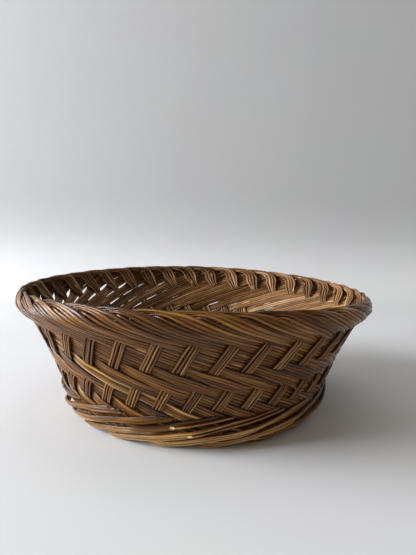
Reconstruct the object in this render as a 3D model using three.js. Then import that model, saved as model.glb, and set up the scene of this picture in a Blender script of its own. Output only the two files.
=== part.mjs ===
// Round rattan basket: a shallow flared bowl plaited from bands of thin round rods.
// Each stake is one band of rods lying side by side. It is rooted in the round base, climbs the wall
// as a steep upright, turns over at the rim, sweeps back down the wall, turns up again at the floor
// and ends on the outside of the foot. The base is two crossed sets of sticks held by two flat weavers.
// Millimetres, +Z up, the floor at z = 0 and the axis of the bowl on Z.

import * as THREE from "three";

// The rods and the bands they make
const ROD_DIAMETER = 1.7;
const RODS_PER_BAND = 4;
const BAND_GAP = 1.2;
const CLEARANCE = 0.35;
const STICK_DIAMETER = 4;
const RODS_PER_WEAVER = 3;

// The wall, measured on the middle of its thickness. It flares from the waist to a shoulder this far
// inside and below the crest, bowed by this much at either end, and curls inward from there to the crest.
const CREST_RADIUS = 129;
const CREST_HEIGHT = 96.8;
const SHOULDER_INSET = 0.6;
const SHOULDER_DROP = 12;
const WAIST_RADIUS = 102.5;
const WAIST_HEIGHT = 28;
const FLOOR_RADIUS = 82.5;
const CREST_CURL = THREE.MathUtils.degToRad(8);
const WALL_BOW = THREE.MathUtils.degToRad(5.5);
const UPRIGHT_LEAN = THREE.MathUtils.degToRad(27);
const RIM_ROLL = 3.4;
const RIM_SAG = 4.2;
const RIM_TILT = 2.3;

// The plait: sticks in the base, and how many crossings each level of the wall takes, from the rim
const STICKS_ALONG_X = 4;
const STICKS_ALONG_Y = 5;
const CROSSINGS_PER_LEVEL = [3, 3, 2, 2];
const BASE_BEND_RADIUS = 10;

// Above this crossing the bands crowd together at the crest, by this factor. In return the crossings of
// the first level stand further apart, and lift the crest by this many crossings.
const PRESSED_FROM = 1.15;
const CREST_PRESS = 0.5;
const CREST_LIFT = 0.28;

// The turn over the rim starts this many crossings down the upright and ends this many stakes along
// the sweep, and the roll of the rim starts this many crossings below the crest
const RIM_TURN_BACK = 1.6;
const RIM_TURN_AHEAD = 1;
const RIM_ROLL_START = 0.7;

// In the foot each band is gathered into a narrower and thicker one. Two and two make a strand: the
// second band of a pair lies under the first. They rise past this many other bands, and the inner edge
// of their turn at the floor keeps this far from the corner, counted in stakes.
const GATHERED_WIDTH = 5.4;
const STRAND_GAP = 2.8;
const BANDS_PER_STRAND = 2;
const FOOT_STAKES = 10.6;
const UNDER_STAKES = 5.2;
const FOOT_TURN = 0.55;

// Sizes that follow from those above
const stickEnds = 2 * (STICKS_ALONG_X + STICKS_ALONG_Y);
const stakeCount = 2 * stickEnds;
const stakeStep = (2 * Math.PI) / stakeCount;
const bandWidth = ROD_DIAMETER * RODS_PER_BAND;
const sweepPitch = bandWidth + BAND_GAP;
const layerStep = ROD_DIAMETER + CLEARANCE;
const sweepHalf = bandWidth / (2 * sweepPitch);
const gatheredDepth = (bandWidth * ROD_DIAMETER) / GATHERED_WIDTH;
const risePitch = (GATHERED_WIDTH + STRAND_GAP) / BANDS_PER_STRAND;
const riseHalf = GATHERED_WIDTH / (2 * risePitch);
const gatheredHalf = GATHERED_WIDTH / (2 * sweepPitch);
const footLayer = gatheredDepth + 1.2 * CLEARANCE;
const TABLE_STEP = 0.25;
const TABLE_ABOVE_CREST = 24;

// The meridian of the wall as a table of points, equally spaced down the slope from above the crest
function crossPoint(p, a, q, b) {
  const det = a.x * b.y - a.y * b.x;
  const along = ((q.x - p.x) * b.y - (q.y - p.y) * b.x) / det;
  return p.clone().addScaledVector(a, along);
}

function makeMeridian() {
  const crest = new THREE.Vector2(CREST_RADIUS, CREST_HEIGHT);
  const waist = new THREE.Vector2(WAIST_RADIUS, WAIST_HEIGHT);
  const floor = new THREE.Vector2(FLOOR_RADIUS, 0);
  const shoulder = crest.clone().sub(new THREE.Vector2(SHOULDER_INSET, SHOULDER_DROP));
  const crestSlope = new THREE.Vector2(Math.sin(CREST_CURL), -Math.cos(CREST_CURL));
  const flare = Math.atan2(shoulder.x - waist.x, shoulder.y - waist.y);
  const wallSlope = new THREE.Vector2(-Math.sin(flare + WALL_BOW), -Math.cos(flare + WALL_BOW));
  const waistSlope = new THREE.Vector2(-Math.sin(flare - WALL_BOW), -Math.cos(flare - WALL_BOW));
  const above = crest.clone().addScaledVector(crestSlope, -TABLE_ABOVE_CREST);
  const rimBend = crossPoint(crest, crestSlope, shoulder, wallSlope);
  const wallBend = crossPoint(shoulder, wallSlope, waist, waistSlope);
  const footBend = waist.clone().addScaledVector(waistSlope, WAIST_HEIGHT / 2);
  const below = floor.clone().addScaledVector(floor.clone().sub(footBend).normalize(), TABLE_ABOVE_CREST);
  const path = new THREE.CurvePath();
  path.add(new THREE.LineCurve(above, crest));
  path.add(new THREE.QuadraticBezierCurve(crest, rimBend, shoulder));
  path.add(new THREE.QuadraticBezierCurve(shoulder, wallBend, waist));
  path.add(new THREE.QuadraticBezierCurve(waist, footBend, floor));
  path.add(new THREE.LineCurve(floor, below));
  const fine = [];
  for (const curve of path.curves) {
    for (const point of curve.getPoints(160)) {
      const last = fine[fine.length - 1];
      if (!last || last.distanceTo(point) > 1e-6) fine.push(point);
    }
  }
  const rows = [];
  let walked = -TABLE_ABOVE_CREST;
  let next = walked;
  for (let i = 1; i < fine.length; i += 1) {
    const length = fine[i].distanceTo(fine[i - 1]);
    while (next <= walked + length) {
      const point = fine[i - 1].clone().lerp(fine[i], (next - walked) / length);
      rows.push({ down: next, radius: point.x, height: point.y });
      next += TABLE_STEP;
    }
    walked += length;
  }
  return rows;
}

// Sweeps lie side by side, so their slope follows from the band width and the room round the wall.
// So do the bands that rise again in the foot. The table also carries how far a sweep, an upright and
// a rising band turn round the axis from the crest, counted in stakes, and the numbers of the crossings.
function addTurns(rows) {
  const crestRow = Math.round(TABLE_ABOVE_CREST / TABLE_STEP);
  const rate = rows.map((row, index) => {
    const before = rows[Math.max(index - 1, 0)];
    const after = rows[Math.min(index + 1, rows.length - 1)];
    const room = stakeStep * row.radius;
    const slope = Math.asin(sweepPitch / room);
    row.lean = Math.atan2(before.radius - after.radius, before.height - after.height);
    const riseSlope = Math.asin(risePitch / room);
    return {
      sweep: 1 / Math.tan(slope) / room,
      upright: Math.tan(UPRIGHT_LEAN) / room,
      rise: 1 / Math.tan(riseSlope) / room,
    };
  });
  for (const turned of ["sweep", "upright", "rise"]) {
    rows[0][turned] = 0;
    for (let index = 1; index < rows.length; index += 1) {
      const step = (TABLE_STEP * (rate[index][turned] + rate[index - 1][turned])) / 2;
      rows[index][turned] = rows[index - 1][turned] + step;
    }
    const atCrest = rows[crestRow][turned];
    for (const row of rows) row[turned] -= atCrest;
  }
  for (const row of rows) {
    row.crossing = row.sweep + row.upright;
    row.footCrossing = row.sweep + row.rise;
  }
  return rows;
}

// Where a crossing lies on the meridian once the bands are pressed together at the crest
function pressedCrossing(crossing) {
  const levelEnd = CROSSINGS_PER_LEVEL[0] + 0.5;
  if (crossing > levelEnd) return crossing;
  if (crossing < PRESSED_FROM) {
    return PRESSED_FROM - CREST_LIFT + (crossing - PRESSED_FROM) * CREST_PRESS;
  }
  return crossing - CREST_LIFT * ((levelEnd - crossing) / (levelEnd - PRESSED_FROM)) ** 2;
}

function pressCrest(rows) {
  let near = 0;
  return rows.map((row) => {
    const place = pressedCrossing(row.crossing);
    while (near < rows.length - 2 && rows[near + 1].crossing < place) near += 1;
    const part = (place - rows[near].crossing) / (rows[near + 1].crossing - rows[near].crossing);
    const pressed = { ...row };
    for (const name of ["radius", "height", "lean"]) {
      pressed[name] = THREE.MathUtils.lerp(rows[near][name], rows[near + 1][name], part);
    }
    return pressed;
  });
}

const wall = pressCrest(addTurns(makeMeridian()));

// One row of the table, found by the value of any column that grows down the wall
function wallAt(column, value) {
  let low = 0;
  let high = wall.length - 1;
  const sign = wall[high][column] > wall[low][column] ? 1 : -1;
  while (high - low > 1) {
    const middle = (low + high) >> 1;
    if (sign * (wall[middle][column] - value) > 0) high = middle;
    else low = middle;
  }
  const part = (value - wall[low][column]) / (wall[high][column] - wall[low][column]);
  const found = {};
  for (const name of Object.keys(wall[low])) {
    found[name] = wall[low][name] + (wall[high][name] - wall[low][name]) * part;
  }
  return found;
}

// Half an upright's width, counted in stakes round the wall
function uprightHalf(row) {
  return bandWidth / (2 * stakeStep * row.radius * Math.cos(UPRIGHT_LEAN));
}

// Levels of the wall: crossing numbers at which uprights and sweeps change sides
const levelEnds = [];
for (const count of CROSSINGS_PER_LEVEL) {
  levelEnds.push((levelEnds[levelEnds.length - 1] ?? 0.5) + count);
}
const lastCrossing = levelEnds[levelEnds.length - 1];
const baseRow = wallAt("crossing", lastCrossing + 0.3);
const widestUpright = uprightHalf(baseRow);

// The foot: the sweep turns up again where the lower edge of its band stands flat on the floor
const floorRow = wallAt("height", 0);
const turnDown = gatheredHalf + FOOT_TURN;
const turnUp = riseHalf + FOOT_TURN;
const lowerEdge = { down: turnDown + gatheredHalf, up: turnUp + riseHalf };
const lowestBend = Math.atan2(lowerEdge.up, lowerEdge.down);
const flatBend = Math.PI / 13;
const flatBends = [lowestBend - flatBend, lowestBend + flatBend];
const turnBends = [0, flatBends[0] / 2, ...flatBends, (flatBends[1] + Math.PI / 2) / 2, Math.PI / 2];
const lowestReach = Math.hypot(lowerEdge.down, lowerEdge.up) * Math.cos(flatBend);
const footReach = floorRow.footCrossing + turnDown + turnUp - lowestReach;
const crossHalf = sweepHalf + riseHalf;
const rampStart = crossHalf - 2;
const rampSlope = 1.02 / (3 - 2 * crossHalf);
const strandLayers = 1.16 + rampSlope * (crossHalf - 1 - rampStart);

// The base plane, and the bend of each stake from the base into the wall
const baseSide = -layerStep / 2 / Math.cos(baseRow.lean);
const bendCentre = {
  radius: baseRow.radius + baseSide - BASE_BEND_RADIUS * Math.cos(baseRow.lean),
  height: baseRow.height + BASE_BEND_RADIUS * Math.sin(baseRow.lean),
};
const basePlane = bendCentre.height - BASE_BEND_RADIUS;
const bendSweep = Math.PI / 2 - baseRow.lean;
const bendTurn = (Math.tan(UPRIGHT_LEAN) * BASE_BEND_RADIUS * bendSweep) / 2 / baseRow.radius;
const rootAngle = baseRow.upright * stakeStep + bendTurn;
const rootRadius = (bandWidth / 2 + STICK_DIAMETER / 2 + CLEARANCE) / Math.sin(stakeStep / 2);

// A point of the basket. The rim of the plaited bowl sags a little on the left, and more on the right.
function polar(radius, angle, height) {
  const uneven = RIM_SAG * Math.cos(angle) ** 2 + RIM_TILT * Math.cos(angle);
  const sag = uneven * (height / CREST_HEIGHT) ** 3;
  return new THREE.Vector3(radius * Math.cos(angle), radius * Math.sin(angle), height - sag);
}

// A band of rectangular section: four corners per station, closed at both ends
function bandGeometry(stations) {
  const corners = stations.flat();
  const faces = [];
  const quad = (a, b, c, d) => faces.push(a, b, c, a, c, d);
  quad(3, 2, 1, 0);
  for (let s = 0; s + 1 < stations.length; s += 1) {
    for (let k = 0; k < 4; k += 1) {
      const near = 4 * s + k;
      const beside = 4 * s + ((k + 1) % 4);
      quad(near, beside, beside + 4, near + 4);
    }
  }
  const end = 4 * (stations.length - 1);
  quad(end, end + 1, end + 2, end + 3);
  let volume = 0;
  for (let f = 0; f < faces.length; f += 3) {
    const [a, b, c] = [corners[faces[f]], corners[faces[f + 1]], corners[faces[f + 2]]];
    volume += a.dot(b.clone().cross(c));
  }
  if (volume < 0) faces.reverse();
  const geometry = new THREE.BufferGeometry().setFromPoints(corners);
  geometry.setIndex(faces);
  geometry.computeVertexNormals();
  return geometry;
}

// A station of a stake on the wall. Each edge is given by its angle, its row of the wall
// and its offset from the middle of the wall's thickness.
function wallStation(left, right) {
  const corner = (edge, side) => {
    const half = (side * (edge.depth ?? ROD_DIAMETER)) / 2 / Math.cos(edge.row.lean);
    const radius = edge.row.radius + edge.offset / Math.cos(edge.row.lean) + half;
    return polar(radius, edge.angle, edge.row.height);
  };
  return [corner(left, -1), corner(left, 1), corner(right, 1), corner(right, -1)];
}

// How far out a sweep stands at a crossing; an upright stands on the other side
function sweepSide(crossing) {
  const level = levelEnds.filter((end) => end < crossing).length;
  return level % 2 === 0 ? 1 : -1;
}

function rimRoll(crossing) {
  const rolled = (crossing - RIM_ROLL_START) / (levelEnds[0] - RIM_ROLL_START);
  const share = THREE.MathUtils.clamp(rolled, 0, 1);
  return RIM_ROLL * Math.sin(Math.PI * share);
}

function uprightStation(stake, crossing, side) {
  const middle = wallAt("crossing", crossing);
  const half = uprightHalf(middle);
  const offset = (side * layerStep) / 2;
  const edge = (across) => {
    const row = wallAt("crossing", crossing + across);
    return { row, offset, angle: (stake - crossing + row.sweep) * stakeStep };
  };
  return wallStation(edge(-half), edge(half));
}

function sweepStation(stake, crossing, side) {
  const edge = (across) => {
    const row = wallAt("crossing", crossing + across);
    const offset = (side * layerStep) / 2 + Math.max(side, 0) * rimRoll(crossing + across);
    return { row, offset, angle: (stake + crossing - row.upright) * stakeStep };
  };
  return wallStation(edge(-sweepHalf), edge(sweepHalf));
}

// The turn at the rim, from upright to sweep: the rods bend round one corner, nested in one another.
// An edge of the band starts to move out where it is clear of the sweep before it, and is
// on the outside where the turn of the next stake passes under it.
const rimHalf = uprightHalf(wallAt("crossing", 0.6));
const rimNext = Math.asin((RIM_TURN_BACK - 1 - sweepHalf) / (RIM_TURN_BACK + sweepHalf));
const rimOutside = 0.98 + RIM_TURN_AHEAD - (RIM_TURN_AHEAD + rimHalf) * Math.cos(rimNext);

function rimLift(out, ahead) {
  const clear = Math.asin((RIM_TURN_BACK - 1 + sweepHalf) / (RIM_TURN_BACK + out * sweepHalf));
  const from = RIM_TURN_AHEAD - (RIM_TURN_AHEAD + out * rimHalf) * Math.cos(clear);
  return THREE.MathUtils.clamp((ahead - from) / (rimOutside - from), 0, 1);
}

function rimTurnStations(stake) {
  const stations = [];
  const turnSteps = 5;
  for (let step = 1; step <= turnSteps; step += 1) {
    const bend = (step / turnSteps) * (Math.PI / 2);
    const edge = (out) => {
      const ahead = RIM_TURN_AHEAD - (RIM_TURN_AHEAD + out * rimHalf) * Math.cos(bend);
      const along = -RIM_TURN_BACK + (RIM_TURN_BACK + out * sweepHalf) * Math.sin(bend);
      const row = wallAt("crossing", ahead - along);
      const lift = rimLift(out, ahead);
      const offset = layerStep * (lift - 0.5) + lift * rimRoll(ahead - along);
      return { row, offset, angle: (stake + along + row.sweep) * stakeStep };
    };
    stations.push(wallStation(edge(1), edge(-1)));
  }
  return stations;
}

// The foot: down the last of the sweep, round the turn at the floor and up on the outside.
// A strand stands two layers further out than the bands that it crosses, the second band of its pair one
// layer, and both thin to their ends. The first band settles on the wall once the second has ended.
function footStation(first, under, left, right, gathered, thinned = 0) {
  const depth = THREE.MathUtils.lerp(ROD_DIAMETER, gatheredDepth, gathered - thinned);
  const inset = thinned > 0 ? (gatheredDepth - depth) / 2 : 0;
  const edge = ({ along, against }) => {
    const row = wallAt("footCrossing", against - along);
    const past = along - first + against - first - footReach;
    const outward = THREE.MathUtils.clamp((past - rampStart) * rampSlope, 0, strandLayers);
    const settled = THREE.MathUtils.clamp((past - UNDER_STAKES - riseHalf) * 0.8, 0, strandLayers - 1.15);
    const layers = under ? Math.max(0, outward - 1.16) : outward - settled;
    const offset = layerStep / 2 + CLEARANCE + layers * footLayer - inset;
    return { row, offset, depth, angle: (along + row.sweep) * stakeStep };
  };
  return wallStation(edge(left), edge(right));
}

function footStations(stake, under) {
  const stations = [];
  const first = under ? stake - 1 : stake;
  const turnEnd = first + footReach;
  const sweepEnd = turnEnd - turnUp;
  const entry = wallAt("crossing", lastCrossing + 1);
  const sweepStart = stake + entry.footCrossing;
  const sweepSteps = Math.max(2, Math.ceil((sweepEnd - sweepStart) / 1.6));
  for (let step = 0; step < sweepSteps; step += 1) {
    const gathered = Math.max(0, (2 * step) / sweepSteps - 1);
    const against = THREE.MathUtils.lerp(sweepStart, sweepEnd, step / sweepSteps);
    const half = THREE.MathUtils.lerp(sweepHalf, gatheredHalf, gathered);
    stations.push(footStation(
      first,
      under,
      { along: stake + half, against },
      { along: stake - half, against },
      gathered,
    ));
  }
  for (const bend of turnBends) {
    const corner = (inward) => ({
      along: stake + turnDown - (turnDown - inward * gatheredHalf) * Math.cos(bend),
      against: turnEnd - turnUp + (turnUp - inward * riseHalf) * Math.sin(bend),
    });
    stations.push(footStation(first, under, corner(1), corner(-1), 1));
  }
  const riseStart = stake + turnDown;
  const riseEnd = first + (under ? UNDER_STAKES : FOOT_STAKES);
  const riseSteps = Math.max(2, Math.ceil((riseEnd - riseStart) / 1.15));
  for (let step = 1; step <= riseSteps; step += 1) {
    const along = THREE.MathUtils.lerp(riseStart, riseEnd, (step / riseSteps) ** 1.4);
    stations.push(footStation(
      first,
      under,
      { along, against: turnEnd - riseHalf },
      { along, against: turnEnd + riseHalf },
      1,
      Math.max(0, (2 * step) / riseSteps - 1),
    ));
  }
  return stations;
}

// The root of a stake, flat in the base, and its bend up into the wall
function rootStations(stake) {
  const stations = [];
  const rootLine = stake * stakeStep - rootAngle;
  for (const radius of [rootRadius, bendCentre.radius]) {
    const reach = Math.asin(bandWidth / 2 / radius);
    stations.push([
      polar(radius, rootLine - reach, basePlane + ROD_DIAMETER / 2),
      polar(radius, rootLine - reach, basePlane - ROD_DIAMETER / 2),
      polar(radius, rootLine + reach, basePlane - ROD_DIAMETER / 2),
      polar(radius, rootLine + reach, basePlane + ROD_DIAMETER / 2),
    ]);
  }
  const bendSteps = 3;
  const tilt = (bandWidth / 2) * Math.tan(UPRIGHT_LEAN) / BASE_BEND_RADIUS;
  for (let step = 1; step < bendSteps; step += 1) {
    const share = step / bendSteps;
    const back = 1 - share;
    const line = rootLine + bendTurn * (1 - 2 * back + back * back);
    const corner = (side, out) => {
      const bend = -Math.PI / 2 + bendSweep * share - side * tilt * share;
      const radius = bendCentre.radius + (BASE_BEND_RADIUS + (out * ROD_DIAMETER) / 2) * Math.cos(bend);
      const height = bendCentre.height + (BASE_BEND_RADIUS + (out * ROD_DIAMETER) / 2) * Math.sin(bend);
      return polar(radius, line + (side * bandWidth) / 2 / baseRow.radius, height);
    };
    stations.push([corner(-1, -1), corner(-1, 1), corner(1, 1), corner(1, -1)]);
  }
  return stations;
}

function stakeGeometry(index) {
  const stake = index + 0.5 + rootAngle / stakeStep;
  const uprightGap = 0.48 * (1 - 2 * sweepHalf);
  const sweepGap = 0.5 - widestUpright - 0.03;
  const stations = rootStations(stake);

  stations.push(uprightStation(stake, baseRow.crossing, -1));
  for (const end of [...levelEnds].reverse()) {
    stations.push(uprightStation(stake, end + uprightGap, -sweepSide(end + 0.25)));
    stations.push(uprightStation(stake, end - uprightGap, -sweepSide(end - 0.25)));
  }
  stations.push(uprightStation(stake, RIM_TURN_BACK, -1), ...rimTurnStations(stake));

  let start = rimOutside;
  for (const end of levelEnds) {
    const stop = end - sweepGap;
    const steps = Math.max(1, Math.ceil((stop - start) / 1.3));
    for (let step = 0; step <= steps; step += 1) {
      stations.push(sweepStation(stake, start + ((stop - start) * step) / steps, sweepSide(end - 0.25)));
    }
    start = end + sweepGap;
  }
  stations.push(sweepStation(stake, start, 1));
  stations.push(...footStations(stake, index % BANDS_PER_STRAND > 0));
  return bandGeometry(stations);
}

// A base stick: straight through the cross at the middle, then fanned out to its place in the ring
function stickGeometry(acrossMiddle, lift, endAngles, crossHalf) {
  const fanRadius = fanStart;
  const middle = [-1, 1].map((side) => acrossMiddle(side * crossHalf));
  const ends = endAngles.map((angle) => [
    polar(fanRadius, angle, basePlane),
    polar(stickReach, angle, basePlane),
  ]);
  for (const point of middle) point.z = basePlane + lift;
  const points = [ends[0][1], ends[0][0], ...middle, ends[1][0], ends[1][1]];
  const sides = 6;
  const stations = points.map((point, index) => {
    const before = points[Math.max(index - 1, 0)];
    const after = points[Math.min(index + 1, points.length - 1)];
    const into = point.clone().sub(before).normalize();
    const onward = after.clone().sub(point).normalize();
    const along = into.add(onward).normalize();
    const across = new THREE.Vector3(0, 0, 1).cross(along).normalize();
    const upward = along.clone().cross(across);
    return Array.from({ length: sides }, (unused, k) => {
      const turn = ((k + 0.5) * 2 * Math.PI) / sides;
      return point.clone()
        .addScaledVector(across, (STICK_DIAMETER / 2) * Math.cos(turn))
        .addScaledVector(upward, (STICK_DIAMETER / 2) * Math.sin(turn));
    });
  });
  return loftGeometry(stations, sides);
}

function loftGeometry(stations, sides) {
  const corners = stations.flat();
  const faces = [];
  for (let s = 0; s + 1 < stations.length; s += 1) {
    for (let k = 0; k < sides; k += 1) {
      const near = sides * s + k;
      const beside = sides * s + ((k + 1) % sides);
      faces.push(near, beside, beside + sides, near, beside + sides, near + sides);
    }
  }
  const end = sides * (stations.length - 1);
  for (let k = 1; k + 1 < sides; k += 1) {
    faces.push(0, k + 1, k, end, end + k, end + k + 1);
  }
  const geometry = new THREE.BufferGeometry().setFromPoints(corners);
  geometry.setIndex(faces);
  geometry.computeVertexNormals();
  return geometry;
}

const stickPitch = STICK_DIAMETER + CLEARANCE;
const stickStep = (2 * Math.PI) / stickEnds;
const crossHalfX = (STICKS_ALONG_Y / 2) * stickPitch + CLEARANCE;
const crossHalfY = (STICKS_ALONG_X / 2) * stickPitch + CLEARANCE;
const fanStart = Math.max((1.4 * stickPitch) / stickStep, 1.55 * Math.max(crossHalfX, crossHalfY));
const stickReach = bendCentre.radius - 1;
const stickLift = stickPitch / 2;

// A flat weaver in the base: a spiral that passes over and under the stick ends in turn.
// Beyond the roots of the stakes it takes each stick end and the two stakes beside it together.
function weaverGeometry(startsOver) {
  const width = ROD_DIAMETER * RODS_PER_WEAVER;
  const perTurn = 2 * (width + CLEARANCE);
  const innerRadius = fanStart + width / 2 + 1 + (startsOver ? 0 : perTurn / 2);
  const outerRadius = stickReach - 1 - width / 2 - (startsOver ? perTurn / 2 : 0);
  const turns = (outerRadius - innerRadius) / perTurn;
  const passes = Math.max(2, Math.floor(turns * stickEnds));
  const height = STICK_DIAMETER / 2 + ROD_DIAMETER / 2 + CLEARANCE;
  const stations = [];
  for (let pass = 0; pass < passes; pass += 1) {
    const over = (pass % 2 === 0) === startsOver;
    const level = basePlane + (over ? height : -height);
    const middleRadius = innerRadius + (pass / stickEnds) * perTurn;
    const amongRoots = middleRadius + width > rootRadius;
    const group = amongRoots
      ? stakeStep / 2 + Math.asin((bandWidth / 2 + CLEARANCE) / Math.max(middleRadius - width / 2, rootRadius))
      : Math.asin((STICK_DIAMETER / 2 + 1.5) / middleRadius);
    const plateau = Math.min(group, 0.46 * stickStep);
    for (const side of [-1, 1]) {
      const angle = (pass + 0.5) * stickStep + side * plateau;
      const radius = innerRadius + ((pass + (side * plateau) / stickStep) / stickEnds) * perTurn;
      stations.push([
        polar(radius - width / 2, angle, level - ROD_DIAMETER / 2),
        polar(radius + width / 2, angle, level - ROD_DIAMETER / 2),
        polar(radius + width / 2, angle, level + ROD_DIAMETER / 2),
        polar(radius - width / 2, angle, level + ROD_DIAMETER / 2),
      ]);
    }
  }
  return bandGeometry(stations);
}

// Materials and the assembly
const stakeRattan = new THREE.MeshStandardMaterial({ color: 0x8c6a45, roughness: 0.5 });
const stickRattan = new THREE.MeshStandardMaterial({ color: 0x7a5936, roughness: 0.6 });
const weaverRattan = new THREE.MeshStandardMaterial({ color: 0x96744d, roughness: 0.55 });

const basket = new THREE.Group();
basket.name = "round_rattan_basket";

function addPiece(name, geometry, material) {
  const mesh = new THREE.Mesh(geometry, material);
  mesh.name = name;
  basket.add(mesh);
}

const twoDigits = (number) => String(number).padStart(2, "0");

for (let index = 0; index < stakeCount; index += 1) {
  addPiece(`stake_${twoDigits(index + 1)}`, stakeGeometry(index), stakeRattan);
}

let stickNumber = 0;
for (let index = 0; index < STICKS_ALONG_X; index += 1) {
  const place = index - (STICKS_ALONG_X - 1) / 2;
  const angles = [Math.PI - place * stickStep, place * stickStep];
  const acrossMiddle = (along) => new THREE.Vector3(along, place * stickPitch, 0);
  stickNumber += 1;
  addPiece(`base_stick_${twoDigits(stickNumber)}`, stickGeometry(acrossMiddle, stickLift, angles, crossHalfX), stickRattan);
}
for (let index = 0; index < STICKS_ALONG_Y; index += 1) {
  const place = index - (STICKS_ALONG_Y - 1) / 2;
  const angles = [-Math.PI / 2 + place * stickStep, Math.PI / 2 - place * stickStep];
  const acrossMiddle = (along) => new THREE.Vector3(place * stickPitch, along, 0);
  stickNumber += 1;
  addPiece(`base_stick_${twoDigits(stickNumber)}`, stickGeometry(acrossMiddle, -stickLift, angles, crossHalfY), stickRattan);
}

addPiece("base_weaver_a", weaverGeometry(true), weaverRattan);
addPiece("base_weaver_b", weaverGeometry(false), weaverRattan);

export default basket;
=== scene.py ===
"""Round rattan basket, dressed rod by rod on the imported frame.

The plait is worked out in millimetres, as a basket maker measures it, and turned to metres where the
meshes are made. Every band of the frame becomes four round rods that follow the band's own way through
the base, up the wall, over the rim, down again and out through the foot.
"""

import logging
import math
from dataclasses import dataclass, field
from enum import Enum, IntEnum

import bpy
import numpy as np
from mathutils import Matrix, Vector

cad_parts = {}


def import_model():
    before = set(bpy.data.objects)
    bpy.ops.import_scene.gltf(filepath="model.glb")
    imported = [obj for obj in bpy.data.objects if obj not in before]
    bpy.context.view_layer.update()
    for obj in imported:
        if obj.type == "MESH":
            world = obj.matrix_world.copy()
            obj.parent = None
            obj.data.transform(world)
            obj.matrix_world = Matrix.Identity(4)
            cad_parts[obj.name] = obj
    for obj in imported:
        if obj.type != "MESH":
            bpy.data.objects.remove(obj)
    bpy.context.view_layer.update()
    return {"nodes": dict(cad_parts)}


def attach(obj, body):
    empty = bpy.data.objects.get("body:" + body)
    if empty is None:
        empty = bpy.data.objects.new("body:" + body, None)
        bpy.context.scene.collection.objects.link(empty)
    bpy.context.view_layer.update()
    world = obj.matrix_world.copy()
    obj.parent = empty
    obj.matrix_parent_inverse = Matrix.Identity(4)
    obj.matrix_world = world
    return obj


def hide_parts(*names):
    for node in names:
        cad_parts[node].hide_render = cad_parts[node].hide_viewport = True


MM = 0.001
PHOTO_HEIGHT = 555
LOG = logging.getLogger("basket")

# Sockets of a mix node that mixes colours
MIX_FROM = 6
MIX_TO = 7
MIX_RESULT = 2


class WallFace(Enum):
    """The face of the wall that a band lies on."""

    OUTSIDE = 1.0
    INSIDE = -1.0


class RodCut(Enum):
    """How the near end of a rod was cut: how far the cut slopes, as a factor on the rod's thickness."""

    ACROSS = 0.0
    SLANTED = 2.2


class Stretch(IntEnum):
    """The stretches of a stake's way, from its root in the base to its end on the foot."""

    ROOT = 0
    BEND = 1
    UPRIGHT = 2
    RIM_TURN = 3
    SWEEP = 4
    FOOT = 5
    FOOT_TURN = 6
    RISE = 7


def linear_colour(code: str) -> tuple[float, float, float, float]:
    """Turns an sRGB hex colour into linear RGBA.

    Args:
        code: The colour as six hex digits, with or without a leading hash.

    Returns:
        Linear red, green, blue and an alpha of one.
    """
    digits = code.lstrip("#")
    channels = [int(digits[i : i + 2], 16) / 255.0 for i in (0, 2, 4)]
    linear = [c / 12.92 if c <= 0.04045 else ((c + 0.055) / 1.055) ** 2.4 for c in channels]
    return (linear[0], linear[1], linear[2], 1.0)


def smooth_step(low: np.ndarray | float, high: float, value: np.ndarray) -> np.ndarray:
    """Rises smoothly from 0 at one value to 1 at another.

    Args:
        low: The value where the rise starts; it may also be the larger one.
        high: The value where it ends.
        value: Where the rise is asked for.

    Returns:
        Shares from 0 to 1.
    """
    share = np.clip((value - low) / (high - low), 0.0, 1.0)
    return share * share * (3.0 - 2.0 * share)


def wander(rng: np.random.Generator, run: np.ndarray, reach: float, wave: float) -> np.ndarray:
    """A slow irregular drift along a rod.

    Args:
        rng: The seeded source of chance.
        run: Places along the rod in millimetres.
        reach: The drift's usual size.
        wave: The length of its longest wave in millimetres.

    Returns:
        One drift per place.
    """
    drift = np.zeros_like(run)
    for octave, weight in ((1.0, 0.6), (2.3, 0.3), (4.1, 0.15)):
        phase = rng.uniform(0.0, 2.0 * math.pi)
        drift += weight * np.sin(2.0 * math.pi * octave * run / wave + phase)
    return reach * drift


def eased(points: np.ndarray, passes: int) -> np.ndarray:
    """Eases the kinks out of a line of points, or of values, and keeps both of its ends.

    Args:
        points: The line, one row or value per place.
        passes: How often each place is drawn towards its neighbours.

    Returns:
        The eased line.
    """
    line = points.copy()
    for _ in range(passes):
        line[1:-1] = 0.25 * line[:-2] + 0.5 * line[1:-1] + 0.25 * line[2:]
    return line


def cross_point(start: np.ndarray, way: np.ndarray, end: np.ndarray, end_way: np.ndarray) -> np.ndarray:
    """Finds where two straight lines in a plane cross.

    Args:
        start: A place on the first line.
        way: The direction of the first line.
        end: A place on the second line.
        end_way: The direction of the second line.

    Returns:
        The crossing.
    """
    gap = end - start
    det = way[0] * end_way[1] - way[1] * end_way[0]
    return start + way * (gap[0] * end_way[1] - gap[1] * end_way[0]) / det


def add_node(
    tree: bpy.types.NodeTree,
    kind: str,
    settings: dict | None = None,
    inputs: dict | None = None,
) -> bpy.types.Node:
    """Adds one shader node with its settings and links.

    Args:
        tree: The material's or the world's node tree.
        kind: Blender's name for the node.
        settings: Values of the node's own properties.
        inputs: A value or an output socket for each input, by its name or number.

    Returns:
        The new node.
    """
    node = tree.nodes.new(kind)
    for name, value in (settings or {}).items():
        setattr(node, name, value)
    for name, value in (inputs or {}).items():
        if isinstance(value, bpy.types.NodeSocket):
            tree.links.new(value, node.inputs[name])
        else:
            node.inputs[name].default_value = value
    return node


def new_tree(name: str) -> tuple[bpy.types.Material, bpy.types.NodeTree]:
    """Makes an empty node material.

    Args:
        name: The material's name.

    Returns:
        The material and its node tree.
    """
    material = bpy.data.materials.new(name)
    material.use_nodes = True
    material.node_tree.nodes.clear()
    return material, material.node_tree


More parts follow.
